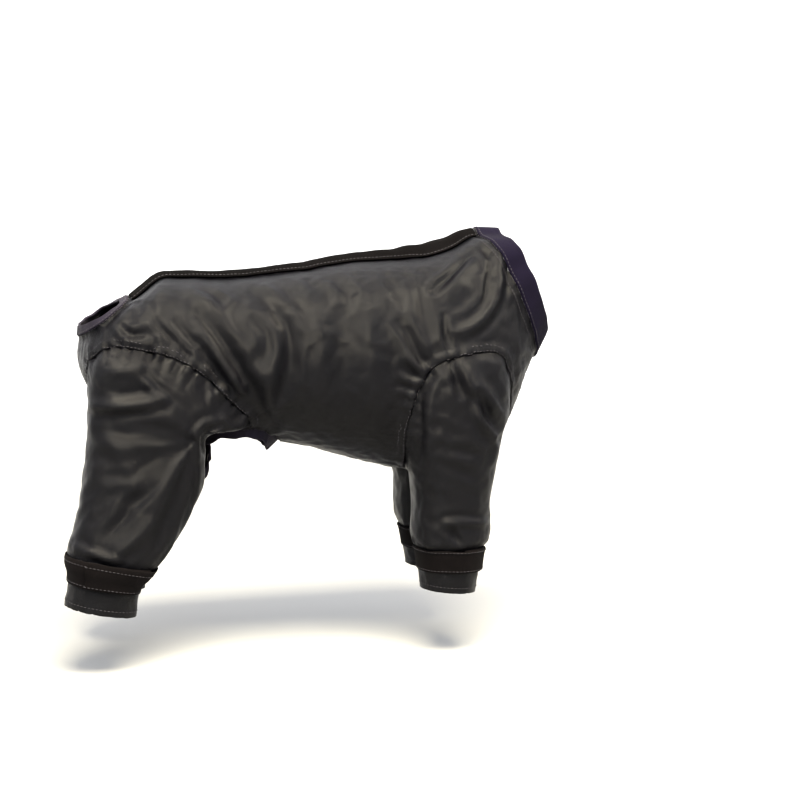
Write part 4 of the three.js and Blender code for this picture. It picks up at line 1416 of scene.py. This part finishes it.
def stitch_tree():
    """Thread stitches at even distances along curves."""
    tree = bpy.data.node_groups.new("stitch_rows", "GeometryNodeTree")
    kinds = [
        ("Rows", "NodeSocketGeometry", None), ("Pitch", "NodeSocketFloat", STITCH_PITCH),
        ("Length", "NodeSocketFloat", STITCH_LENGTH), ("Thickness", "NodeSocketFloat", THREAD_THICKNESS),
        ("Seed", "NodeSocketInt", 4), ("Thread", "NodeSocketMaterial", None),
    ]
    for label, kind, value in kinds:
        socket = tree.interface.new_socket(label, in_out="INPUT", socket_type=kind)
        if value is not None:
            socket.default_value = value
    tree.interface.new_socket("Stitches", in_out="OUTPUT", socket_type="NodeSocketGeometry")
    given, result = add_node(tree, "NodeGroupInput").outputs, add_node(tree, "NodeGroupOutput").inputs
    points = add_node(tree, "GeometryNodeCurveToPoints", mode="LENGTH")
    join(tree, given["Rows"], points.inputs["Curve"])
    join(tree, given["Pitch"], points.inputs["Length"])
    bead = set_inputs(add_node(tree, "GeometryNodeMeshUVSphere"), Segments=6, Rings=4, Radius=0.5)
    size = add_node(tree, "ShaderNodeCombineXYZ")
    join(tree, given["Thickness"], size.inputs["X"])
    join(tree, given["Thickness"], size.inputs["Y"])
    join(tree, given["Length"], size.inputs["Z"])
    stitch = add_node(tree, "GeometryNodeTransform")
    join(tree, bead.outputs["Mesh"], stitch.inputs["Geometry"])
    join(tree, size.outputs[0], stitch.inputs["Scale"])
    turn = add_node(tree, "FunctionNodeAlignRotationToVector", axis="Z")
    join(tree, points.outputs["Tangent"], turn.inputs["Vector"])
    uneven = add_node(tree, "FunctionNodeRandomValue", data_type="FLOAT")
    uneven.inputs[2].default_value = 0.85
    uneven.inputs[3].default_value = 1.1
    join(tree, given["Seed"], uneven.inputs["Seed"])
    placed = add_node(tree, "GeometryNodeInstanceOnPoints")
    join(tree, points.outputs["Points"], placed.inputs["Points"])
    join(tree, stitch.outputs[0], placed.inputs["Instance"])
    join(tree, turn.outputs[0], placed.inputs["Rotation"])
    join(tree, uneven.outputs[1], placed.inputs["Scale"])
    real = add_node(tree, "GeometryNodeRealizeInstances")
    join(tree, placed.outputs[0], real.inputs[0])
    finish = add_node(tree, "GeometryNodeSetMaterial")
    join(tree, real.outputs[0], finish.inputs["Geometry"])
    join(tree, given["Thread"], finish.inputs["Material"])
    join(tree, finish.outputs[0], result["Stitches"])
    return tree


def surface_row(line_name, wanted, reach):
    """Runs of points on the wanted pieces' cloth at a distance from a line."""
    line, closed = even_line(line_name, ROW_STEP)
    if closed:
        ahead = np.roll(line, -1, axis=0) - np.roll(line, 1, axis=0)
    else:
        ahead = np.gradient(line, axis=0)
    best = None
    for way in (1, -1):
        runs, run, count = [], [], 0
        for spot, step in zip(line, ahead):
            normal = cloth_tree.find_nearest(Vector(spot))[1]
            aside = way * np.cross(np.array(normal), step)
            aside /= max(np.linalg.norm(aside), 1e-9)
            near, normal, index, far = cloth_tree.find_nearest(Vector(spot + reach * aside))
            if face_piece[index] in wanted and far < ROW_SPREAD:
                run.append(np.array(near) + THREAD_LIFT * np.array(normal))
                count += 1
            elif run:
                runs.append(run)
                run = []
        if run:
            runs.append(run)
        if best is None or count > best[0]:
            best = (count, runs)
    return [r for r in best[1] if len(r) > 3]


def piece_row(piece, share):
    """Points along a strip's outer face at a share of its width."""
    rows = len(piece.data.vertices) // (2 * ACROSS)
    points = read_points(piece.data)[: rows * ACROSS].reshape(rows, ACROSS, 3)
    return list(points[:, int(np.argmin(np.abs(across_shares - share)))])


BODY = {PANEL_RIGHT, PANEL_LEFT}
SEAM_ROWS = (0.0018, 0.0062)  # distances from the seam on the turned edge
HEM_ROW = 0.0045
BODY_ROWS_OF_THREAD = {"neck": (0.0022, 0.0066), "tail": (0.002,), "cut_out": (0.0022,), "keel": (0.0022,)}
stitch_runs = []
for number in range(len(legs)):
    for reach in SEAM_ROWS:
        stitch_runs += surface_row(f"seam_{number}", BODY, reach)
    stitch_runs += surface_row(f"hem_{number}", {number}, HEM_ROW)
for name, reaches in BODY_ROWS_OF_THREAD.items():
    for reach in reaches:
        stitch_runs += surface_row(name, BODY, reach)
STRIP_ROWS = [(limb["strap"], (0.1, 0.9)) for limb in legs]
STRIP_ROWS += [("back_placket", (0.1, 0.9)), ("neck_band", (0.1,)), ("tail_binding", (0.2,))]
for name, shares in STRIP_ROWS:
    stitch_runs += [piece_row(pieces[name], share) for share in shares]


def stitches():
    """All rows of stitches as one piece."""
    curve = bpy.data.curves.new("stitch_rows", "CURVE")
    curve.dimensions = "3D"
    for run in stitch_runs:
        spline = curve.splines.new("POLY")
        spline.points.add(len(run) - 1)
        spline.points.foreach_set("co", [v for p in run for v in (*p, 1)])
    rows = bpy.data.objects.new("stitch_rows", curve)
    scene.collection.objects.link(rows)
    tree = stitch_tree()
    modifier = rows.modifiers.new("stitches", "NODES")
    modifier.node_group = tree
    sockets = {i.name: i.identifier for i in tree.interface.items_tree if i.in_out == "INPUT"}
    modifier[sockets["Thread"]] = materials["thread"]
    mesh = evaluated_mesh(rows)
    bpy.data.objects.remove(rows)
    return new_piece("stitches", mesh)


pieces["stitches"] = stitches()

# Bodies and the solids that the pieces stand for
for name, piece in pieces.items():
    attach(piece, "root")
    if "panel" in name:
        side = name.rsplit("_", 1)[1]
        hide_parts(f"front_panel_{side}", f"rear_panel_{side}")
    elif name != "stitches":
        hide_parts(name)

# What each piece was cut to. Each row gives the piece, the cloth's two sides in metres, the share
# of that rectangle which the pattern fills, how the piece is held, and what it rests on.
CUTS = [
    ("front_sleeve", 0.19, 0.21, 0.76, "hung", ("body_panel",)),
    ("hind_sleeve", 0.25, 0.23, 0.73, "hung", ("body_panel",)),
    ("body_panel", 0.40, 0.24, 0.74, "stretched", ()),
    ("neck_band", NECK_BAND_WIDTH, 0.35, 1, "stretched", ("body_panel",)),
    ("tail_binding", 0.010, 0.16, 1, "gathered", ("body_panel",)),
    ("belly_binding", 0.0114, 0.265, 1, "gathered", ("body_panel", "hind_sleeve")),
    ("front_strap", STRAP_WIDTH, 0.215, 1, "stretched", ("front_sleeve",)),
    ("hind_strap", STRAP_WIDTH, 0.28, 1, "stretched", ("hind_sleeve",)),
    ("back_placket", PLACKET_WIDTH, 0.35, 1, "laid", ("body_panel",)),
]
for kind, width, length, share, held, under in CUTS:
    for name, piece in pieces.items():
        if not name.startswith(kind):
            continue
        side = name.rsplit("_", 1)[1]
        carriers = [p for other, p in pieces.items() if other.startswith(under)]
        if side in ("right", "left"):
            carriers = [p for p in carriers if side in p.name]


# Studio
def add_light(name, place, target, size, energy, colour):
    """A rectangular lamp that is turned towards its target."""
    light = bpy.data.lights.new(name, "AREA")
    light.shape = "RECTANGLE"
    light.size, light.size_y = size
    light.energy = energy
    light.color = colour
    lamp = bpy.data.objects.new(name, light)
    lamp.location = place
    lamp.rotation_euler = (Vector(target) - Vector(place)).to_track_quat("-Z", "Y").to_euler()
    scene.collection.objects.link(lamp)


FLOOR_GREY = 0.42  # near the suit
FLOOR_FAR_GREY = 0.95
FLOOR_PALER_FROM, FLOOR_PALER_TO = 0.8, 2.6  # how far behind the suit


def floor_material():
    """Grey under the suit, and paler behind it, so that the background comes out white."""
    material = bpy.data.materials.new("pale_floor")
    material.use_nodes = True
    tree = material.node_tree
    shader = tree.nodes["Principled BSDF"]
    set_inputs(shader, Roughness=0.8)
    place = add_node(tree, "ShaderNodeTexCoord")
    parts = add_node(tree, "ShaderNodeSeparateXYZ")
    join(tree, place.outputs["Object"], parts.inputs[0])
    paler = add_node(tree, "ShaderNodeMapRange")
    join(tree, parts.outputs["Y"], paler.inputs["Value"])
    set_inputs(paler, From_Min=FLOOR_PALER_FROM, From_Max=FLOOR_PALER_TO)
    set_inputs(paler, To_Min=FLOOR_GREY, To_Max=FLOOR_FAR_GREY)
    join(tree, paler.outputs["Result"], shader.inputs["Base Color"])
    return material


FLOOR_RADIUS = 4.5
RIM_RADIUS = 1.6


def floor():
    """A wide round floor whose rim curves up, so that no edge of it shows."""
    rim = np.linspace(0, math.pi / 2, 14)
    radii = [0.6, 2.0, FLOOR_RADIUS, *(FLOOR_RADIUS + RIM_RADIUS * np.sin(rim[1:]))]
    heights = [0, 0, 0, *(RIM_RADIUS * (1 - np.cos(rim[1:])))]
    turns = np.linspace(0, 2 * math.pi, 97)[:-1]
    points = [(0, 0, FLOOR_HEIGHT)]
    for radius, height in zip(radii, heights):
        points += [(radius * math.cos(t), radius * math.sin(t), FLOOR_HEIGHT + height) for t in turns]
    count = len(turns)
    faces = [(0, 1 + j, 1 + (j + 1) % count) for j in range(count)]
    for i in range(len(radii) - 1):
        for j in range(count):
            a, b = 1 + i * count + j, 1 + i * count + (j + 1) % count
            faces.append((a, a + count, b + count, b))
    piece = mesh_object("floor", points, faces)
    piece.data.shade_smooth()
    piece.data.materials.append(floor_material())
    return piece


floor()
world = bpy.data.worlds.new("studio")
scene.world = world
world.use_nodes = True
set_inputs(world.node_tree.nodes["Background"], Color=(1, 1, 1, 1), Strength=1.2)
scene.view_settings.view_transform = "Standard"
scene.view_settings.look = "High Contrast"
add_light(
    "top_light", place=(0.0, -0.8, 1.3), target=(0, 0, -0.05), size=(1.1, 0.7), energy=72,
    colour=(1, 0.92, 0.72),
)
add_light(
    "front_light", place=(-0.75, -2.7, 1.25), target=(0, 0, -0.1), size=(2.2, 1.4), energy=16,
    colour=(0.62, 0.77, 1),
)
